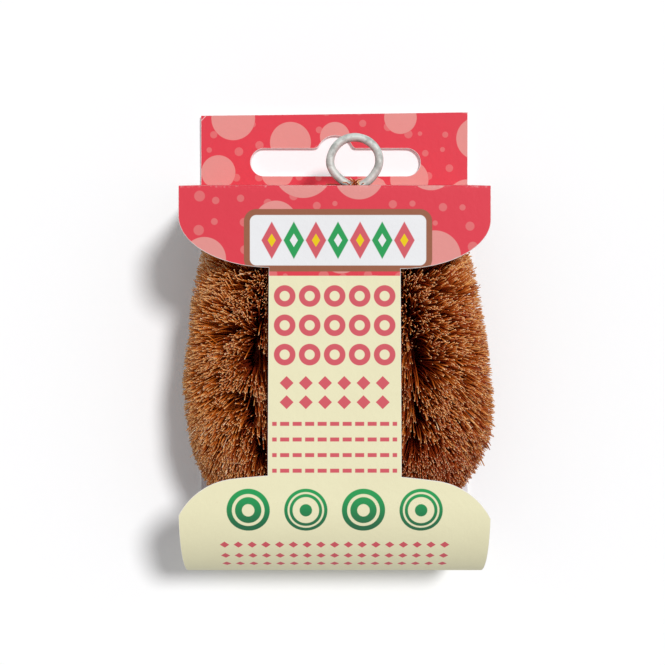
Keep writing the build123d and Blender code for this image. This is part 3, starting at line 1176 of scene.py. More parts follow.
@dataclass
class SleeveCard(FoldedCard):
    """The back panel with the tab's back layer, the wrap, and the front: footer, strap and header."""

    strap_taper: float = 0.22 * MM
    header_side: float = 7.1 * MM
    header_corner: float = 10.2 * MM
    footer_crown: float = 5.8 * MM
    footer_drops: tuple[float, float, float] = (1.45 * MM, 4.5 * MM, 9.3 * MM)
    footer_shares: tuple[float, float, float] = (0.65, 0.877, 1.0)
    tab_slope_share: float = 0.013
    crown_slope_share: float = 0.021
    header_slope_share: float = 0.019
    slot_shift: tuple[float, float] = (0.14 * MM, -0.07 * MM)
    warp: float = 0.12 * MM
    warp_waves: tuple[tuple[float, float], ...] = ((21 * MM, 0.6), (17 * MM, -0.4))
    warp_from: float = 12 * MM
    step: float = 0.8 * MM

    def __post_init__(self) -> None:
        """Take the card's whole length."""
        self.whole_run = self.sizes.sleeve_run

    def front_run(self, y: np.ndarray) -> np.ndarray:
        """The run along the card at a place of the front, seen from above."""
        size = self.sizes
        under = np.clip((size.wrap_start_y - y) / size.wrap_radius, 0, 1)
        flat, bent = y - size.wrap_start_y, -size.wrap_radius * np.arcsin(under)
        return size.front_from + np.where(flat >= 0, flat, bent)

    def outline(self) -> np.ndarray:
        """The flat outline, from the top of the tab behind round to the crease in front."""
        size = self.sizes
        wide = size.half_width
        crown_y = size.wrap_start_y + self.footer_crown
        along = [(wide * share, crown_y - drop) for share, drop in zip(self.footer_shares, self.footer_drops)]
        shoulder, corner, ear = along
        flank = arc_through(ear, corner, shoulder, self.step)
        crown = arc_through(shoulder, (0, crown_y), (-shoulder[0], shoulder[1]), self.step)
        foot = (size.strap_half, np.interp(size.strap_half, crown[::-1, 0], crown[::-1, 1]))
        crown = np.concatenate([crown[crown[:, 0] > size.strap_half + self.step / 8], [foot]])
        corner_y = size.crease_y + size.half - self.header_side
        neck = size.strap_half - self.strap_taper
        header = arc((neck, corner_y), (wide - neck, self.header_corner), -90, 0, self.step)
        right = np.concatenate([flank, crown, header, [[wide, size.crease_y]]])
        left = right[::-1] * (-1, 1)
        in_crown = left[:, 1] < crown_y + self.step
        in_header = ~in_crown & (left[:, 1] < corner_y + self.step)
        left[:, 1] -= left[:, 0] * (self.crown_slope_share * in_crown + self.header_slope_share * in_header)
        for side in (right, left):
            side[:, 1] = self.front_run(side[:, 1])
        slope = self.tab_slope_share * wide
        return np.concatenate([[[-wide, slope], [wide, -slope]], right, left])

    def make(self, slot: HangSlot) -> bpy.types.Object:
        """Cut and bend the sleeve."""
        hole = slot.outline(self.sizes.tab_top_y, self.slot_shift)
        hole[:, 1] = self.sizes.tab_top_y - hole[:, 1]
        return self.build(FlatCard([self.outline(), hole], self.fold_run, np.zeros(0)))

    def bend(self, places: np.ndarray) -> tuple[np.ndarray, np.ndarray, np.ndarray]:
        """Where flat places lie on the bent sleeve, with the ways along it and out of its printed side."""
        size = self.sizes
        x, run = places.T
        turn = np.clip((run - size.back_run) / size.wrap_radius, 0, math.pi)
        behind = np.minimum(run, size.back_run)
        front = np.maximum(run - size.front_from, 0)
        sine, cosine = np.sin(turn), np.cos(turn)
        y = size.tab_top_y - behind - size.wrap_radius * sine + front
        z = size.middle_z - size.wrap_radius * cosine
        nothing = np.zeros_like(x)
        way = np.stack([nothing, -cosine, sine], 1)
        out = np.stack([nothing, -sine, -cosine], 1)
        free = smooth(front, 0, self.warp_from) * smooth(size.sleeve_run - run, 0, self.warp_from)
        (wide, begin), (tall, low) = self.warp_waves
        wave = np.cos(x / wide + begin) * np.cos(front / tall + low)
        return np.stack([x, y, z + self.warp * free * wave], 1), way, out

    def print_along(self, run: np.ndarray) -> np.ndarray:
        """The print's own measure along the sleeve, in millimetres."""
        return (run - self.sizes.front_from + self.sizes.wrap_start_y) / MM


@dataclass
class FlapCard(FoldedCard):
    """The shelf over the brush, with its hole for the ring, and the front layer of the tab."""

    bend_radius: float = 0.5 * MM
    hole_swing: float = 0.5 * MM
    hole_play: float = 1.1 * MM
    hole_shift: float = 0.6 * MM
    hole_corner: float = 2.5 * MM
    bend_rows: int = 7
    lift: float = 0.16 * MM
    lift_from_share: float = 0.4
    lift_run: float = 16 * MM
    tab_slope_share: float = 0.013
    step: float = 0.8 * MM

    def __post_init__(self) -> None:
        """Work out the runs at which the shelf ends and the tab starts."""
        size = self.sizes
        shelf = float(np.linalg.norm(size.shelf_way))
        self.down = size.shelf_way / shelf
        self.turn = math.acos(self.down[0])
        setback = self.bend_radius * math.tan(self.turn / 2)
        self.bend_from = shelf - setback
        self.bend_to = self.bend_from + self.bend_radius * self.turn
        self.tab_start_y = size.tab_root_y + setback
        self.whole_run = self.bend_to + size.tab_top_y - self.tab_start_y

    def ring_hole(self) -> np.ndarray:
        """The outline of the hole that the ring passes as the flap swings."""
        size = self.sizes
        low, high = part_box("hanging_ring")
        near = size.crease_z - high.z - self.hole_swing
        far = math.hypot(high.y - size.crease_y, size.crease_z - low.z) + self.hole_swing
        half = (high.x - low.x) / 2 + self.hole_play
        middle = (low.x + high.x) / 2 - self.hole_shift
        radii = (self.hole_corner, self.hole_corner)
        parts = []
        for x, y, start in ((1, near, -90), (1, far, 0), (-1, far, 90), (-1, near, 180)):
            inward = 1 if y == near else -1
            centre = (middle + x * (half - self.hole_corner), y + inward * self.hole_corner)
            parts.append(arc(centre, radii, start, start + 90, self.step / 2))
        return np.concatenate(parts)

    def make(self, slot: HangSlot) -> bpy.types.Object:
        """Cut and bend the flap."""
        size = self.sizes
        wide = size.half_width
        slope = self.tab_slope_share * wide
        top = self.whole_run
        outline = np.array([[-wide, 0], [wide, 0], [wide, top + slope], [-wide, top - slope]])
        hole = slot.outline(size.tab_top_y)
        hole[:, 1] = hole[:, 1] - self.tab_start_y + self.bend_to
        rows = np.linspace(self.bend_from, self.bend_to, self.bend_rows)
        return self.build(FlatCard([outline, hole, self.ring_hole()], 0.0, rows))

    def bend(self, places: np.ndarray) -> tuple[np.ndarray, np.ndarray, np.ndarray]:
        """Where flat places lie on the bent flap, with the ways along it and out of its printed side."""
        size = self.sizes
        x, run = places.T
        turn = np.clip((run - self.bend_from) / self.bend_radius, 0, self.turn)
        down_y, down_z = self.down
        way_y = down_y * np.cos(turn) - down_z * np.sin(turn)
        way_z = down_z * np.cos(turn) + down_y * np.sin(turn)
        on_shelf = np.minimum(run, self.bend_from)
        on_tab = np.maximum(run - self.bend_to, 0)
        swung = self.bend_radius * np.sin(turn)
        risen = self.bend_radius * (1 - np.cos(turn))
        y = size.crease_y + down_y * (on_shelf + swung) - down_z * risen + on_tab
        z = size.crease_z + down_z * (on_shelf + swung) + down_y * risen
        aside = smooth(abs(x), self.lift_from_share * size.half_width, size.half_width)
        corner = aside * smooth(on_tab, 0, self.lift_run)
        nothing = np.zeros_like(x)
        way = np.stack([nothing, way_y, way_z], 1)
        out = np.stack([nothing, -way_z, way_y], 1)
        return np.stack([x, y, z + self.lift * corner], 1), way, out

    def print_along(self, run: np.ndarray) -> np.ndarray:
        """The print's own measure along the flap, in millimetres."""
        return (run + self.sizes.crease_y) / MM


@dataclass(frozen=True)
class CoreArc:
    """An arc of the core, against the clock seen from the front, with angles in degrees."""

    centre: tuple[float, float]
    radius: float
    start: float
    turn: float

    @property
    def length(self) -> float:
        """The arc's length."""
        return self.radius * math.radians(self.turn)

    def at(self, share: np.ndarray) -> tuple[np.ndarray, np.ndarray, np.ndarray]:
        """Places along the arc, with the way along it and the way out of the loop."""
        angle = np.radians(self.start + self.turn * share)
        nothing = np.zeros_like(angle)
        out = np.stack([np.cos(angle), np.sin(angle), nothing], 1)
        way = np.stack([-np.sin(angle), np.cos(angle), nothing], 1)
        return np.array([*self.centre, 0.0]) + self.radius * out, way, out


@dataclass(frozen=True)
class CoreRun:
    """The straight run of the core at its top, from right to left."""

    half: float
    y: float

    @property
    def length(self) -> float:
        """The run's length."""
        return 2 * self.half

    def at(self, share: np.ndarray) -> tuple[np.ndarray, np.ndarray, np.ndarray]:
        """Places along the run, with the way along it and the way out of the loop."""
        nothing = np.zeros_like(share)
        places = np.stack([self.half * (1 - 2 * share), nothing + self.y, nothing], 1)
        way, out = (np.stack([nothing + x, nothing + y, nothing], 1) for x, y in ((-1, 0), (0, 1)))
        return places, way, out


Stretch = CoreArc | CoreRun


class Ripple:
    """A smooth random wave over the run along the core and the angle round it, from about -1 to 1."""

    def __init__(self, rng: Random, length: float, turns: int, waves: int = 9) -> None:
        """Draw the waves.

        Args:
            rng: The source of random numbers.
            length: The shortest wave along the core.
            turns: The most waves round it.
            waves: How many waves are added up.
        """
        self.along = rng.uniform(-1, 1, waves) * 2 * math.pi / length
        self.round = rng.integers(-turns, turns + 1, waves)
        self.phase = rng.uniform(0, 2 * math.pi, waves)

    def at(self, run: np.ndarray, angle: np.ndarray) -> np.ndarray:
        """The wave's height at each run and angle."""
        waves = np.cos(run[:, None] * self.along + angle[:, None] * self.round + self.phase)
        return waves.sum(1) / math.sqrt(len(self.phase) * 1.6)


@dataclass(frozen=True)
class CoreLoop:
    """The closed loop of the twisted core, seen from the front."""

    bend_y: float = -14.5 * MM
    bend_radius: float = 17.8 * MM
    shoulder_radius: float = 8.0 * MM
    limb_lean: float = 18.0
    top_y: float = 23.682 * MM
    middle_room: float = 0.3 * MM
    least_sideways: float = 0.2
    bend_room: float = 2.5 * MM
    shoulder_room: float = 1.5 * MM

    def stretches(self) -> dict[str, Stretch]:
        """The loop of the core, against the clock from its top, under the names of its stretches."""
        lean = math.radians(self.limb_lean)
        shoulder = self.shoulder_radius
        limb_top_y = self.top_y - shoulder * (1 - math.sin(lean))
        limb_radius = (limb_top_y - self.bend_y) / math.sin(lean)
        limb_top_x = self.bend_radius - limb_radius * (1 - math.cos(lean))
        top_half = limb_top_x - shoulder * math.cos(lean)
        limb_x = limb_radius - self.bend_radius
        shoulder_y = self.top_y - shoulder
        turn = 90 - self.limb_lean
        half_limb = self.limb_lean / 2
        bend = (0.0, self.bend_y)
        return {
            "top": CoreRun(top_half, self.top_y),
            "shoulder_left": CoreArc((-top_half, shoulder_y), shoulder, 90, turn),
            "upper_limb_left": CoreArc((limb_x, self.bend_y), limb_radius, 180 - self.limb_lean, half_limb),
            "lower_limb_left": CoreArc((limb_x, self.bend_y), limb_radius, 180 - half_limb, half_limb),
            "bend_side_left": CoreArc(bend, self.bend_radius, 180, 45),
            "bend_base_left": CoreArc(bend, self.bend_radius, 225, 45),
            "bend_base_right": CoreArc(bend, self.bend_radius, 270, 45),
            "bend_side_right": CoreArc(bend, self.bend_radius, 315, 45),
            "lower_limb_right": CoreArc((-limb_x, self.bend_y), limb_radius, 0, half_limb),
            "upper_limb_right": CoreArc((-limb_x, self.bend_y), limb_radius, half_limb, half_limb),
            "shoulder_right": CoreArc((top_half, shoulder_y), shoulder, self.limb_lean, turn),
        }

    def inner_room(self, name: str, places: np.ndarray, out: np.ndarray) -> np.ndarray:
        """How far fibres may run inwards before they meet those of the other side.

        Args:
            name: The stretch's name.
            places: Where the fibres leave the core.
            out: The way out of the loop there.

        Returns:
            The room at each place.
        """
        to_middle = (abs(places[:, 0]) - self.middle_room) / np.maximum(abs(out[:, 0]), self.least_sideways)
        if "limb" in name:
            return to_middle
        if "bend" in name:
            return np.minimum(self.bend_radius - self.bend_room, to_middle)
        return np.full(len(places), self.shoulder_radius - self.shoulder_room)


@dataclass(frozen=True)
class Parting:
    """The parting of the coir down the front of each limb, with angles in degrees."""

    wave: Ripple
    push: float = 9.0
    width: float = 26.0
    level: float = 0.55
    swing: float = 0.6
    limits: tuple[float, float] = (0.1, 1.2)
    ends_y: tuple[float, float] = (-4 * MM, 14 * MM)

    def share(self, place: np.ndarray) -> np.ndarray:
        """How much the coir is parted at places on the core."""
        return 1 - smooth(place[:, 1], *self.ends_y)

    def pushed(self, angle: np.ndarray, run: np.ndarray, place: np.ndarray) -> np.ndarray:
        """Push tufts aside from the front.

        Args:
            angle: The tufts' angles round the core.
            run: Their runs along it.
            place: Where they leave it.

        Returns:
            The new angles.
        """
        off_front = (angle - math.pi / 2 + math.pi) % (2 * math.pi) - math.pi
        local = self.level + self.swing * self.wave.at(run, angle * 0)
        push = np.radians(self.push) * np.clip(local, *self.limits) * self.share(place)
        width = math.radians(self.width)
        return angle + push * np.sign(off_front) * np.exp(-((off_front / width) ** 2))


@dataclass(frozen=True)
class TuftLean:
    """How far tufts lean along the core: fanned down low in front, and a little up at the top."""

    wave: Ripple
    fan: float = 0.37
    fan_y: tuple[float, float] = (-16 * MM, 8 * MM)
    fan_offset: float = 0.25
    up: float = 0.12
    inner: float = 0.75
    inner_power: float = 0.6
    front_from: tuple[float, float] = (-0.3, 0.5)
    upright_from: float = 0.35
    wave_reach: float = 0.17
    spread: float = 0.09

    def draw(
        self,
        angle: np.ndarray,
        run: np.ndarray,
        place: np.ndarray,
        way: np.ndarray,
        parted: np.ndarray,
        rng: Random,
    ) -> np.ndarray:
        """Draw the leans of tufts.

        Args:
            angle: The tufts' angles round the core.
            run: Their runs along it.
            place: Where they leave it.
            way: The way along it there.
            parted: How much the coir is parted there.
            rng: The source of random numbers.

        Returns:
            The leans in radians, against the clock.
        """
        inner = np.clip(-np.cos(angle), 0, 1)
        fan = self.fan * (1 - smooth(place[:, 1], *self.fan_y)) - self.up * (1 - parted)
        fan = fan * np.clip(np.cos(angle) + self.fan_offset, 0, 1)
        front = smooth(np.sin(angle), *self.front_from)
        lean = -np.sign(way[:, 1]) * front * (fan + self.inner * inner**self.inner_power * parted)
        upright = abs(way[:, 1])
        lean = np.where(upright > self.upright_from, lean, lean * upright / self.upright_from)
        return lean + self.wave_reach * self.wave.at(run, angle) + rng.normal(0, self.spread, len(lean))


@dataclass(frozen=True)
class TuftToneAndShade:
    """The tones of tufts: painted light out of the loop and painted shade inside it, painted shade on the
    right side that evens out the lamp from the right with painted light inside the loop there, darker towards
    the foot, and a random spread of their own.
    """

    base: float = 0.22
    # Lighter out of the loop and darker inside it: painted light and painted shade.
    outward_light_and_shade: float = 0.3
    # More painted light on the fibres that point out of the loop.
    outer: float = 0.36
    # More painted shade on the fibres that point into the loop.
    inner: float = -0.16
    spread: float = 0.15
    # Painted shade on the right's outer fibres, which evens out the lamp from the right.
    right_painted_shade: float = 0.55
    # Painted light on the right's inner fibres, in the shaded parting.
    right_inner_painted_light: float = 0.45
    right_x: tuple[float, float] = (-6 * MM, 10 * MM)
    low: float = 0.44
    low_y: tuple[float, float] = (-32 * MM, -18 * MM)

    def draw(self, angle: np.ndarray, place: np.ndarray, tip: np.ndarray, rng: Random) -> np.ndarray:
        """Draw the tones of tufts, with their painted light and shade.

        Args:
            angle: The tufts' angles round the core.
            place: Where they leave it.
            tip: Where their tips are.
            rng: The source of random numbers.

        Returns:
            The tones, from 0 for dark to 1 for light.
        """
        outer, inner = np.clip(np.cos(angle), 0, 1), np.clip(-np.cos(angle), 0, 1)
        # Painted light out of the loop and painted shade inside it, with a random spread of the tufts' own.
        tone = self.base + self.outward_light_and_shade * np.cos(angle) + self.outer * outer
        tone = tone + self.inner * inner + rng.normal(0, self.spread, len(angle))
        to_right = smooth(place[:, 0], *self.right_x)
        low = 1 - smooth(tip[:, 1], *self.low_y)
        # Painted shade on the right side and painted light inside the loop there, against the lamp from the
        # right.
        tone -= to_right * (self.right_painted_shade * outer - self.right_inner_painted_light * inner)
        return tone - self.low * low * (0.5 + 0.5 * to_right)


@dataclass
class Tufts:
    """The tufts of one stretch: where they leave the core, how they grow and where their tips are."""

    place: np.ndarray
    way: np.ndarray
    around: np.ndarray
    tip: np.ndarray
    length: np.ndarray
    tone: np.ndarray


@dataclass
class Fibres:
    """Three-sided fibres with cut ends, each given by points along its middle, a tone and a radius."""

    points: np.ndarray
    tone: np.ndarray
    radius: np.ndarray
    sides: ClassVar[int] = 3
    shares: ClassVar[np.ndarray] = np.array([0.0, 0.32, 0.58, 0.82, 1.0])
    taper: ClassVar[np.ndarray] = np.array([0.8, 1.0, 1.05, 1.0, 0.85])
    map_top: ClassVar[float] = 0.95
    map_width: ClassVar[float] = 0.01
    map_tip: ClassVar[tuple[float, float]] = (0.975, 0.995)
    map_root: ClassVar[tuple[float, float]] = (0.0, 0.01)

    @classmethod
    def bowed(cls, root: np.ndarray, knee: np.ndarray, tip: np.ndarray) -> np.ndarray:
        """The points of fibres that bow from their roots past their knees to their tips."""
        share = cls.shares[None, :, None]
        root, knee, tip = root[:, None], knee[:, None], tip[:, None]
        return (1 - share) ** 2 * root + 2 * share * (1 - share) * knee + share**2 * tip

    def joined(self, more: "Fibres") -> "Fibres":
        """These fibres together with more."""
        pairs = ((self.points, more.points), (self.tone, more.tone), (self.radius, more.radius))
        return Fibres(*(np.concatenate(pair) for pair in pairs))

    def hull(self, rng: Random) -> np.ndarray:
        """Draw how each fibre is turned, and lay its sides round it.

        Args:
            rng: The source of random numbers.

        Returns:
            The points round the fibres, ring after ring.
        """
        axis = unit(np.roll(self.points, -1, 1) - self.points)
        axis[:, -1] = axis[:, -2]
        first = unit(np.cross(axis, unit(rng.normal(0, 1, (len(self.points), 1, 3)))))
        second = np.cross(axis, first)
        turn = 2 * math.pi * np.arange(self.sides) / self.sides
        ways = np.cos(turn)[:, None] * first[:, :, None] + np.sin(turn)[:, None] * second[:, :, None]
        thick = self.taper[None, :, None, None] * self.radius[:, None, None, None]
        return (self.points[:, :, None] + ways * thick).reshape(-1, 3)

    def faces(self) -> list[np.ndarray]:
        """The faces along the fibres, those at their tips and those at their roots."""
        count, rings = self.points.shape[:2]
        start = np.arange(count)[:, None, None] * rings * self.sides
        ring = np.arange(rings - 1)[None, :, None] * self.sides
        side = np.arange(self.sides)[None, None, :]
        here, there = start + ring + side, start + ring + (side + 1) % self.sides
        walls = np.stack([here, there, there + self.sides, here + self.sides], -1).reshape(-1, 4)
        roots = start.reshape(-1, 1) + np.arange(self.sides)
        return [walls, roots + (rings - 1) * self.sides, roots[:, ::-1]]

    def bake_map(self) -> np.ndarray:
        """The place of each face's corners on the bake map, with the tone across and the way upwards."""
        count, rings = self.points.shape[:2]
        shift = (np.arange(self.sides + 1) / self.sides - 0.5) * self.map_width
        shift = np.stack([shift[:-1], shift[1:], shift[1:], shift[:-1]], 1)
        rise = self.shares * self.map_top
        rise = np.stack([rise[:-1], rise[:-1], rise[1:], rise[1:]], 1)
        wall = (self.tone[:, None, None, None] + shift[None, None], rise[None, :, None])
        laid = [np.broadcast_to(part, (count, rings - 1, self.sides, 4)) for part in wall]
        maps = [np.stack(laid, -1).reshape(-1, 2)]
        across = (self.tone[:, None] + np.array([-0.5, 0.5, 0.0]) * self.map_width).ravel()
        for base, point in (self.map_tip, self.map_root):
            maps.append(np.stack([across, np.tile([base, base, point], count)], 1))
        return np.concatenate(maps)


@dataclass(frozen=True)
class CoreMat:
    """The lumpy mat of packed roots round the core's wires."""

    wave: Ripple
    middle_z: float
    radius: float = 2.55 * MM
    sides: int = 18
    step: float = 0.5 * MM
    lumps: float = 0.06
    # The mat lies on the dark root end of the fibres' colours, which is painted shade deep in the brush.
    map_across: tuple[float, float] = (0.1, 0.2)
    map_along: tuple[float, float] = (0.36, 0.1)

    def build(self, stretch: Stretch, from_start: float) -> tuple[np.ndarray, np.ndarray, np.ndarray]:
        """Wrap the mat round one stretch.

        Args:
            stretch: The stretch.
            from_start: The run along the loop at which it starts.

        Returns:
            The mat's points, its faces and its corners' places on the bake map.
        """
        rows, sides = max(4, round(stretch.length / self.step)), self.sides
        share = np.repeat(np.linspace(0, 1, rows + 1), sides)
        angle = np.tile(2 * math.pi * np.arange(sides) / sides, rows + 1)
        place, _, out = stretch.at(share)
        place[:, 2] = self.middle_z
        lumps = self.wave.at(from_start + share * stretch.length, angle)
        points = place + round_core(out, angle) * (self.radius * (1 + self.lumps * lumps))[:, None]
        (left, wide), (foot, tall) = self.map_across, self.map_along
        across = left + wide * (np.arange(sides)[:, None] + np.array([0, 0, 1, 1])) / sides
        up = foot + tall * (np.arange(rows)[:, None] + np.array([0, 1, 1, 0])) / rows
        laid = [np.broadcast_to(part, (rows, sides, 4)) for part in (across[None], up[:, None])]
        return points, tube_quads(rows, sides), np.stack(laid, -1).reshape(-1, 2)


@dataclass(frozen=True)
class RingBits:
    """The few fibres that come out of the shelf's hole round the foot of the ring."""

    middle_z: float
    radius: float = 0.15 * MM
    count: int = 44
    least_wide: float = 0.3
    root: tuple[float, float] = (29 * MM, 2.2 * MM)
    knee: tuple[float, float, float] = (33.4 * MM, 1.6 * MM, 2.0 * MM)
    tip: tuple[float, float, float] = (33 * MM, 1.9 * MM, 1.3 * MM)
    pale_tone: float = 0.99
    pale_share: float = 0.3
    tones: tuple[float, float] = (0.02, 0.5)
    on_shelf: tuple[tuple[float, float, float], ...] = (
        (4 * MM, 31 * MM, 17 * MM),
        (3 * MM, 34.2 * MM, 17 * MM),
        (-1.9 * MM, 33.8 * MM, 17.5 * MM),
    )

    def draw(self, rng: Random) -> Fibres:
        """Draw the fibres, the first of which lies over the shelf.

        Args:
            rng: The source of random numbers.

        Returns:
            The fibres.
        """
        low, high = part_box("hanging_ring")
        middle = np.array([(low.x + high.x) / 2, 0, self.middle_z])
        angle = rng.uniform(0, 2 * math.pi, self.count)
        far = rng.uniform(self.least_wide, 1.0, self.count)
        beside = np.stack([np.cos(angle) * far, angle * 0, np.sin(angle) * far], 1)
        root_y, root_wide = self.root
        knee_y, knee_rise, knee_wide = self.knee
        tip_y, tip_rise, tip_wide = self.tip
        root = middle + beside * root_wide + (0, root_y, 0)
        tip = middle + rng.normal(0, 1, (self.count, 3)) * (tip_wide, 0, tip_wide)
        tip[:, 1] = tip_y + rng.uniform(0, tip_rise, self.count)
        knee = middle + beside * knee_wide
        knee[:, 1] = knee_y + rng.uniform(0, knee_rise, self.count)
        root[0], knee[0], tip[0] = self.on_shelf
        pale = rng.uniform(0, 1, self.count) < self.pale_share
        tone = np.where(pale, self.pale_tone, rng.uniform(*self.tones, self.count))
        return Fibres(Fibres.bowed(root, knee, tip), tone, np.full(self.count, self.radius))


@dataclass
class CoirBrush:
    """The coir fibres, in tufts all round the looped core, pressed by the card round them."""

    sizes: SleeveSizes
    finish: CoirFibre
    lean: TuftLean = field(init=False)
    parting: Parting = field(init=False)
    core: CoreLoop = CoreLoop()
    tuft_tone_and_shade: TuftToneAndShade = TuftToneAndShade()
    reach: float = 17.1 * MM
    reach_bias_share: float = 0.024
    uneven: tuple[tuple[float, float, float], ...] = (
        (-40 * MM, 0.5 * MM, -0.2 * MM),
        (-33 * MM, 0.3 * MM, 0.3 * MM),
        (-28 * MM, -0.1 * MM, 0.7 * MM),
        (-21 * MM, -0.8 * MM, 1.1 * MM),
        (-10 * MM, 0.0, 0.3 * MM),
        (-1 * MM, -0.7 * MM, -0.1 * MM),
        (8 * MM, 0.0, -0.3 * MM),
    )
    panel_room: float = 0.1 * MM
    panel_spread: float = 0.5 * MM
    window_room: float = 0.7 * MM
    window_side: tuple[float, float] = (-0.5 * MM, 2.0 * MM)
    window_foot: tuple[float, float] = (3 * MM, 7 * MM)
    window_head: tuple[float, float] = (14 * MM, 18 * MM)
    stem_room: float = 0.1 * MM
    stem_ends: tuple[float, float] = (1 * MM, 2 * MM)
    tufts_per_mm: float = 54.0
    bend_more: float = 0.5
    least_cosine: float = 0.8
    trims: int = 3
    tries: int = 12
    least_wanted: float = 0.35
    inner_from: float = -0.3
    inner_wanted: float = 0.7
    fibres_a_tuft: int = 5
    tuft_width: float = 0.9 * MM
    root_radius: float = 1.3 * MM
    root_share: float = 0.4
    knee_share: float = 0.45
    knee_offset: float = 0.3
    cut_spread: float = 0.06
    cut_power: float = 1.6
    broken_by: float = 0.3
    broken_share: float = 0.12
    stray_by: float = 0.05
    stray_share: float = 0.008
    bow: float = 0.03
    kink: float = 0.07 * MM
    tone_spread: float = 0.2
    tone_limits: tuple[float, float] = (0.02, 0.97)
    pale_tone: float = 0.99
    pale_places: tuple[tuple[float, float], ...] = ((-29.4 * MM, 16.0 * MM), (-32.6 * MM, -22.2 * MM))
    pale_reach: float = 1.6 * MM
    pale_share: float = 0.4
    bleached_share: float = 0.008
    fibre_radius: float = 0.125 * MM
    radius_spread: float = 0.028 * MM
    radius_limits: tuple[float, float] = (0.08 * MM, 0.2 * MM)
    map_limits: tuple[float, float] = (0.001, 0.999)
    seed: int = 41

    def press(self, points: np.ndarray, jitter: np.ndarray) -> np.ndarray:
        """Push points back inside the sleeve.

        Args:
            points: The points of every fibre, in the row frame.
            jitter: A random share for each fibre.

        Returns:
            The points, on or inside the card's faces.
        """
        size = self.sizes
        x, y, z = (points[..., axis].copy() for axis in range(3))
        spread = jitter[:, None] * self.panel_spread
        open_side = smooth(abs(x), *(size.strap_half + part for part in self.window_side))
        open_side *= smooth(y, *(size.wrap_start_y + part for part in self.window_foot))
        open_side *= 1 - smooth(y, *self.window_head)
        top = size.depth - size.thickness - self.panel_room + open_side * self.window_room
        z = np.minimum(z, top - spread)
        z = np.maximum(z, size.thickness + self.panel_room + spread)
        below = size.wrap_start_y - y
        radius = np.hypot(below, z - size.middle_z)
        limit = size.wrap_radius - size.half - self.panel_room - spread
        pull = np.where((below > 0) & (radius > limit), limit / np.maximum(radius, 1e-9), 1.0)
        y = size.wrap_start_y - below * pull
        z = np.where(below > 0, size.middle_z + (z - size.middle_z) * pull, z)
        down = unit(size.shelf_way)
        above = -(y - size.crease_y) * down[1] + (z - size.crease_z) * down[0]
        over = np.maximum(above + size.half + self.panel_room + spread, 0)
        y += over * down[1]
        z -= over * down[0]
        return np.stack([x, y, z], -1)

    def clear_stem(self, points: np.ndarray) -> np.ndarray:
        """Push points out of the binding and the legs of the ring."""
        low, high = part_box("neck_binding")
        middle = np.array([(low.x + high.x) / 2, self.sizes.middle_z])
        keep = (high.x - low.x) / 2 + self.stem_room
        below, above = self.stem_ends
        beside = points[..., (0, 2)] - middle
        far = np.linalg.norm(beside, axis=-1)
        caught = (far < keep) & (points[..., 1] > low.y - below) & (points[..., 1] < high.y + above)
        pushed = beside * (keep / np.maximum(far, 1e-6))[..., None] + middle
        moved = points.copy()
        moved[..., (0, 2)] = np.where(caught[..., None], pushed, points[..., (0, 2)])
        return moved

    def angles(self, stretch: Stretch, count: int, rng: Random) -> np.ndarray:
        """Draw the angles round the core, so that the tips lie about as close everywhere.

        Args:
            stretch: The stretch.
            count: How many angles.
            rng: The source of random numbers.

        Returns:
            The angles, where 0 is the way out of the loop and a quarter turn is the front.
        """
        drawn = rng.uniform(0, 2 * math.pi, (count, self.tries))
        bend = stretch.radius if isinstance(stretch, CoreArc) else math.inf
        wanted = np.clip(1 + self.reach / bend * np.cos(drawn), self.least_wanted, None)
        wanted = np.where(np.cos(drawn) < self.inner_from, wanted * self.inner_wanted, wanted)
        kept = rng.uniform(0, 1 + self.reach / bend, drawn.shape) < wanted
        kept[:, -1] = True
        return drawn[np.arange(count), kept.argmax(1)]

    def trimmed(
        self,
        stretch: CoreArc,
        place: np.ndarray,
        grown: np.ndarray,
        length: np.ndarray,
        reach: np.ndarray,
    ) -> np.ndarray:
        """Cut tufts that lean back to the reach of the brush, measured square to its core.

        Args:
            stretch: The arc that they grow on.
            place: Where they grow.
            grown: The ways they grow.
            length: Their lengths.
            reach: How far they may reach.

        Returns:
            Their new lengths.
        """
        for _ in range(self.trims):
            tip = place + grown * length[:, None]
            from_centre = np.linalg.norm(tip[:, :2] - np.array(stretch.centre), axis=1) - stretch.radius
            off_core = np.hypot(from_centre, tip[:, 2] - self.sizes.middle_z)
            length = length * np.minimum(reach / off_core, 1)
        return length

    def draw_tufts(self, name: str, stretch: Stretch, from_start: float, rng: Random) -> Tufts:
        """Draw the tufts of one stretch.

        Args:
            name: The stretch's name.
            stretch: The stretch.
            from_start: The run along the loop at which it starts.
            rng: The source of random numbers.

        Returns:
            The tufts.
        """
        bend_share = min(self.reach / stretch.radius, 1) if isinstance(stretch, CoreArc) else 0
        count = round(stretch.length / MM * self.tufts_per_mm * (1 + self.bend_more * bend_share))
        share = (np.arange(count) + rng.uniform(0, 1, count)) / count
        angle = self.angles(stretch, count, rng)
        place, way, out = stretch.at(share)
        place[:, 2] = self.sizes.middle_z
        run = from_start + share * stretch.length
        angle = self.parting.pushed(angle, run, place)
        lean = self.lean.draw(angle, run, place, way, self.parting.share(place), rng)
        around = round_core(out, angle)
        outer = np.clip(np.cos(angle), 0, 1)
        reach = self.reach * (1 + self.reach_bias_share * np.sign(place[:, 0]) * outer)
        room = self.core.inner_room(name, place, out) / np.maximum(-np.cos(angle), 1e-3)
        reach = np.where(np.cos(angle) < 0, np.minimum(reach, room), reach)
        length = reach / np.maximum(np.cos(lean), self.least_cosine)
        grown = around * np.cos(lean)[:, None] + way * np.sin(lean)[:, None]
        tip = place + grown * length[:, None]
        at, *sides = np.array(self.uneven).T
        uneven = np.where(tip[:, 0] < 0, *(np.interp(tip[:, 1], at, side) for side in sides)) * outer
        length, reach = length + uneven, reach + uneven
        if isinstance(stretch, CoreArc):
            length = self.trimmed(stretch, place, grown, length, reach)
        tip = place + grown * length[:, None]
        return Tufts(place, way, around, tip, length, self.tuft_tone_and_shade.draw(angle, place, tip, rng))

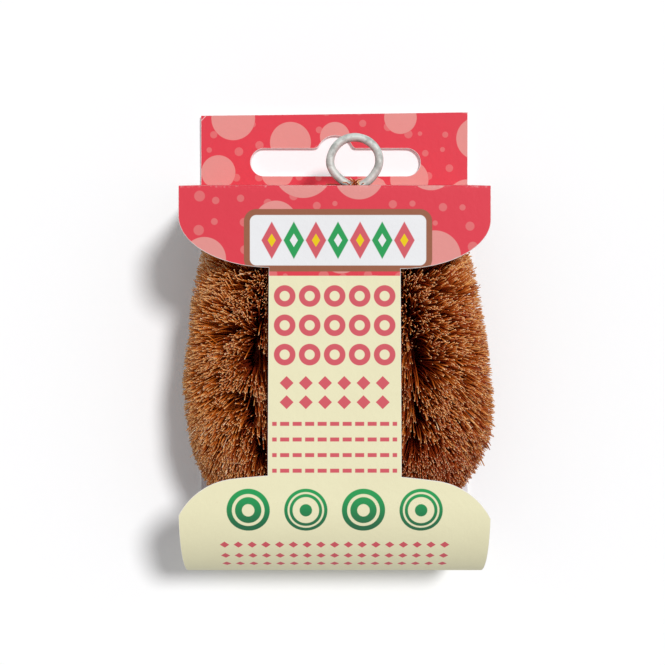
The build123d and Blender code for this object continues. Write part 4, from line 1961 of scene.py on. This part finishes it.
    def draw_fibres(self, tufts: Tufts, rng: Random) -> Fibres:
        """Draw the fibres of some tufts.

        Args:
            tufts: The tufts.
            rng: The source of random numbers.

        Returns:
            The fibres.
        """
        of = np.repeat(np.arange(len(tufts.tone)), self.fibres_a_tuft)
        count = len(of)
        place, around, way, length = tufts.place[of], tufts.around[of], tufts.way[of], tufts.length[of]
        length = length[:, None]
        beside = np.cross(around, way)
        spread = rng.normal(0, self.tuft_width, (count, 2))
        root = place + around * self.root_radius + way * spread[:, :1] * self.root_share
        cut, broken, stray = (rng.uniform(0, 1, (count, 1)) for _ in range(3))
        short = 1 - self.cut_spread * cut**self.cut_power - self.broken_by * (broken < self.broken_share)
        short += self.stray_by * (stray < self.stray_share)
        offset = way * spread[:, :1] + beside * spread[:, 1:]
        tip = place + (tufts.tip[of] - place) * short + offset
        bow = rng.normal(0, self.bow, (count, 2)) * length
        knee = root + around * length * self.knee_share + offset * self.knee_offset
        knee = knee + way * bow[:, :1] + beside * bow[:, 1:]
        kink = rng.normal(0, self.kink, (count, len(Fibres.shares), 3))
        points = Fibres.bowed(root, knee, tip) + kink * Fibres.shares[None, :, None]
        points = self.press(points, rng.uniform(0, 1, count))
        tone = tufts.tone[of] + rng.normal(0, self.tone_spread, count)
        tone = np.clip(tone, *self.tone_limits)
        near = [np.linalg.norm(tip[:, :2] - pale, axis=1) for pale in self.pale_places]
        pale = (np.min(near, axis=0) < self.pale_reach) & (tip[:, 2] > self.sizes.middle_z)
        wanted = np.where(pale, self.pale_share, self.bleached_share)
        tone[rng.uniform(0, 1, count) < wanted] = self.pale_tone
        radius = np.clip(rng.normal(self.fibre_radius, self.radius_spread, count), *self.radius_limits)
        return Fibres(self.clear_stem(points), tone, radius)

    def mesh(
        self,
        name: str,
        fibres: Fibres,
        mat: tuple[np.ndarray, np.ndarray, np.ndarray],
        rng: Random,
    ) -> bpy.types.Mesh:
        """Make one mesh of fibres and of the mat at their roots.

        Args:
            name: The mesh's name.
            fibres: The fibres.
            mat: The mat's points, its faces and its corners' places on the bake map.
            rng: The source of random numbers.

        Returns:
            The mesh, with its bake map.
        """
        hull, faces = fibres.hull(rng), fibres.faces()
        mat_points, mat_faces, mat_map = mat
        mesh = new_mesh(name, np.concatenate([hull, mat_points]), [*faces, mat_faces + len(hull)])
        walls, tips, roots, around_core = (len(part) for part in (*faces, mat_faces))
        rounded = np.repeat([True, False, True], [walls, tips + roots, around_core])
        mesh.polygons.foreach_set("use_smooth", rounded)
        corners = np.concatenate([fibres.bake_map(), mat_map])
        lay_bake_map(mesh, np.clip(corners, *self.map_limits))
        return mesh

    def build(self) -> list[bpy.types.Object]:
        """Make the fibres of every stretch."""
        rng = np.random.default_rng(self.seed)
        dress = self.finish.material()
        self.lean = TuftLean(Ripple(rng, 3.2 * MM, 5))
        self.parting = Parting(Ripple(rng, 6.0 * MM, 0))
        mat = CoreMat(Ripple(rng, 1.2 * MM, 7, 14), self.sizes.middle_z)
        pieces = []
        from_start = 0.0
        for name, stretch in self.core.stretches().items():
            fibres = self.draw_fibres(self.draw_tufts(name, stretch, from_start, rng), rng)
            if name == "top":
                fibres = fibres.joined(RingBits(self.sizes.middle_z).draw(rng))
            mesh = self.mesh("coir_" + name, fibres, mat.build(stretch, from_start), rng)
            mesh.materials.append(dress)
            pieces.append(new_piece("coir_" + name, mesh, "brush", ("bristles_" + name,)))
            from_start += stretch.length
        return pieces


@dataclass
class HangingRing:
    """The ring and its legs, one bent wire that is not quite round and a little dented."""

    sizes: SleeveSizes
    leg_gap: float = 0.12 * MM
    flare_radius: float = 2.0 * MM
    out_of_round: float = 0.16 * MM
    round_phases: tuple[float, float] = (-2.2, 0.6)
    neck_left: float = 0.9 * MM
    neck_right: float = 0.25 * MM
    neck_span: tuple[float, float] = (0.05, 0.72)
    wide_share: float = 0.02
    lifted: float = 0.72 * MM
    flattened: float = 0.42 * MM
    dents_share: float = 0.014
    dent_length: float = 1.6 * MM
    sharp_from: float = 60.0
    sides: int = 28
    step: float = 0.22 * MM
    seed: int = 7

    def path(self) -> np.ndarray:
        """The middle of the wire from the foot of the left leg to the foot of the right one."""
        low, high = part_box("hanging_ring")
        wire = (high.z - low.z) / 2
        ring = (high.x - low.x) / 2 - wire
        middle = ((low.x + high.x) / 2, high.y - wire - ring)
        offset = wire + self.leg_gap / 2
        reach = ring + self.flare_radius
        opening = math.degrees(math.asin((offset + self.flare_radius) / reach))
        leg_top_y = middle[1] - math.sqrt(reach**2 - (offset + self.flare_radius) ** 2)
        flare = (self.flare_radius, self.flare_radius)
        left, right = middle[0] - offset, middle[0] + offset
        steps = max(2, math.ceil((leg_top_y - low.y) / self.step))
        rise = np.linspace(low.y, leg_top_y, steps, endpoint=False)
        parts = [
            np.stack([np.full(steps, left), rise], 1),
            arc((left - self.flare_radius, leg_top_y), flare, 0, 90 - opening, self.step)[:-1],
            arc(middle, (ring, ring), 270 - opening, opening - 90, self.step)[:-1],
            arc((right + self.flare_radius, leg_top_y), flare, 90 + opening, 180, self.step),
            np.stack([np.full(steps, right), rise[::-1]], 1),
        ]
        path = np.concatenate(parts)
        from_middle = path - middle
        angle = np.arctan2(from_middle[:, 1], from_middle[:, 0])
        free = smooth(path[:, 1], leg_top_y, middle[1])
        twice, thrice = self.round_phases
        bulge = self.out_of_round * (np.cos(2 * angle + twice) + 0.5 * np.cos(3 * angle + thrice))
        path = path + unit(from_middle) * (bulge * free)[:, None]
        below = (middle[1] - path[:, 1]) / (middle[1] - leg_top_y)
        drawn_in = smooth(below, *self.neck_span) * (1 - smooth(below, self.neck_span[1], 1.0))
        path[:, 0] += np.where(from_middle[:, 0] < 0, self.neck_left, -self.neck_right) * drawn_in
        path[:, 0] += self.wide_share * from_middle[:, 0] * free
        raised = smooth(path[:, 1], low.y, middle[1])
        path[:, 1] += self.lifted * raised - self.flattened * np.clip(from_middle[:, 1] / ring, 0, 1)
        return path

    def build(self, dress: Material) -> bpy.types.Object:
        """Draw the wire along its path.

        Args:
            dress: The wire's material.

        Returns:
            The piece.
        """
        low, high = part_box("hanging_ring")
        wire = (high.z - low.z) / 2
        path = self.path()
        rng = np.random.default_rng(self.seed)
        way = unit(np.gradient(path, axis=0))
        beside = np.stack([way[:, 1], -way[:, 0]], 1)
        turn = 2 * math.pi * np.arange(self.sides) / self.sides
        run = np.concatenate([[0], np.cumsum(np.linalg.norm(np.diff(path, axis=0), axis=1))])
        dents = Ripple(rng, self.dent_length, 2, 12)
        grid_run, grid_turn = (part.ravel() for part in np.meshgrid(run, turn, indexing="ij"))
        radius = wire * (1 + self.dents_share * dents.at(grid_run, grid_turn)).reshape(len(path), self.sides)
        flat = path[:, None] + beside[:, None] * (radius * np.cos(turn))[..., None]
        high_z = self.sizes.middle_z + radius * np.sin(turn)
        points = np.concatenate([flat, high_z[..., None]], -1).reshape(-1, 3)
        last = (len(path) - 1) * self.sides
        ends = np.stack([np.arange(self.sides), last + np.arange(self.sides)[::-1]])
        mesh = new_mesh("ring_wire", points, [tube_quads(len(path) - 1, self.sides), ends])
        mesh.set_sharp_from_angle(angle=math.radians(self.sharp_from))
        mesh.materials.append(dress)
        return new_piece("ring_wire", mesh, "brush", ("hanging_ring",))


@dataclass
class Studio:
    """The floor, the light and the camera over the pack."""

    photo_side: float = 665.0
    focal_pixels: float = 975.7
    camera_place: tuple[float, float, float] = (-0.45 * MM, 0.1 * MM, 239.0 * MM)
    floor_half: float = 1.5
    floor_drop: float = 0.05 * MM
    world_level: float = 0.38
    key_power: float = 2.2
    floor_lift: float = 0.03
    floor_roughness: float = 0.9
    floor_specular: float = 0.1
    key_spread: float = 11.0
    key_place: tuple[float, float, float] = (0.24, 0.21, 0.6)
    sensor_width: float = 36.0
    clip: tuple[float, float] = (0.01, 10.0)

    def floor(self) -> None:
        """Lay the pale floor under the pack."""
        half = self.floor_half
        corners = np.array([[-half, -half], [half, -half], [half, half], [-half, half]])
        points = np.concatenate([corners, np.full((4, 1), -self.floor_drop)], 1)
        mesh = new_mesh("floor", points, [np.array([[0, 1, 2, 3]])])
        shade = Shade("pale_floor")
        rays = shade.node("LightPath").outputs
        seen = shade.most(rays["Is Camera Ray"], rays["Is Glossy Ray"])
        seen = shade.most(seen, rays["Is Transmission Ray"])
        colour = shade.blend(seen, Ink.FLOOR_GREY, Ink.FLOOR_WHITE)
        lift = shade.times(seen, self.floor_lift)
        settings = {"Specular_IOR_Level": self.floor_specular, "Emission_Strength": lift}
        mesh.materials.append(shade.finish(colour, self.floor_roughness, **settings))
        floor = bpy.data.objects.new("floor", mesh)
        bpy.context.scene.collection.objects.link(floor)

    def light(self) -> None:
        """Light the pack from all round, and more from the upper right."""
        world = bpy.data.worlds.new("soft_room")
        bpy.context.scene.world = world
        world.use_nodes = True
        tree = world.node_tree
        ground = tree.nodes["Background"]
        ground.inputs["Color"].default_value = (1.0, 1.0, 1.0, 1.0)
        rays = tree.nodes.new("ShaderNodeLightPath").outputs
        seen = rays["Is Camera Ray"]
        for kind in ("Is Glossy Ray", "Is Transmission Ray"):
            either = tree.nodes.new("ShaderNodeMath")
            either.operation = "MAXIMUM"
            tree.links.new(seen, either.inputs[0])
            tree.links.new(rays[kind], either.inputs[1])
            seen = either.outputs[0]
        level = tree.nodes.new("ShaderNodeMapRange")
        level.inputs["To Min"].default_value = self.world_level
        tree.links.new(seen, level.inputs["Value"])
        tree.links.new(level.outputs["Result"], ground.inputs["Strength"])
        lamp = bpy.data.lights.new("key", "SUN")
        lamp.energy = self.key_power
        lamp.angle = math.radians(self.key_spread)
        key = bpy.data.objects.new("key", lamp)
        key.location = self.key_place
        key.rotation_euler = (-Vector(self.key_place)).to_track_quat("-Z", "Y").to_euler()
        bpy.context.scene.collection.objects.link(key)

    def camera(self) -> None:
        """Set the camera straight above the pack, as the photograph was taken."""
        lens = bpy.data.cameras.new("camera")
        lens.sensor_width = self.sensor_width
        lens.lens = self.sensor_width * self.focal_pixels / self.photo_side
        lens.clip_start, lens.clip_end = self.clip
        camera = bpy.data.objects.new("camera", lens)
        camera.location = self.camera_place
        bpy.context.scene.collection.objects.link(camera)
        bpy.context.scene.camera = camera

    def build(self) -> None:
        """Set up the floor, the light and the camera."""
        self.floor()
        self.light()
        self.camera()
        bpy.context.scene.view_settings.view_transform = "Standard"


def dress_nodes(names: Sequence[str], dress: Material) -> None:
    """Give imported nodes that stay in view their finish.

    Args:
        names: The nodes.
        dress: Their material.
    """
    for name in names:
        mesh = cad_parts[name].data
        mesh.materials.clear()
        mesh.materials.append(dress)
        log.info("%s: packed node, dressed", name)


def main() -> None:
    """Build the studio and every piece in order."""
    logging.basicConfig(level=logging.INFO, format="%(message)s")
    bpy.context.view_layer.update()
    Studio().build()
    sizes = SleeveSizes.from_frame()
    slot = HangSlot()
    sleeve_nodes = ("card_back_panel", "card_bottom_wrap", "card_front_panel")
    sleeve = SleeveCard(sizes, "sleeve_card", "sleeve", sleeve_nodes, sizes.sleeve_run)
    flap = FlapCard(sizes, "flap_card", "flap", ("card_top_flap",), 0.0, fold_pinch_share=0.04)
    faces = [PrintedCard().material(), BareCard().material(), CutCard().material()]
    for card in (sleeve.make(slot), flap.make(slot)):
        for face in faces:
            card.data.materials.append(face)
    zinc = Galvanised().material()
    HangingRing(sizes).build(zinc)
    dress_nodes(("neck_binding", "core_strand_a", "core_strand_b"), zinc)
    CoirBrush(sizes, CoirFibre()).build()
    bpy.context.view_layer.update()


if __name__ == "__main__":
    main()
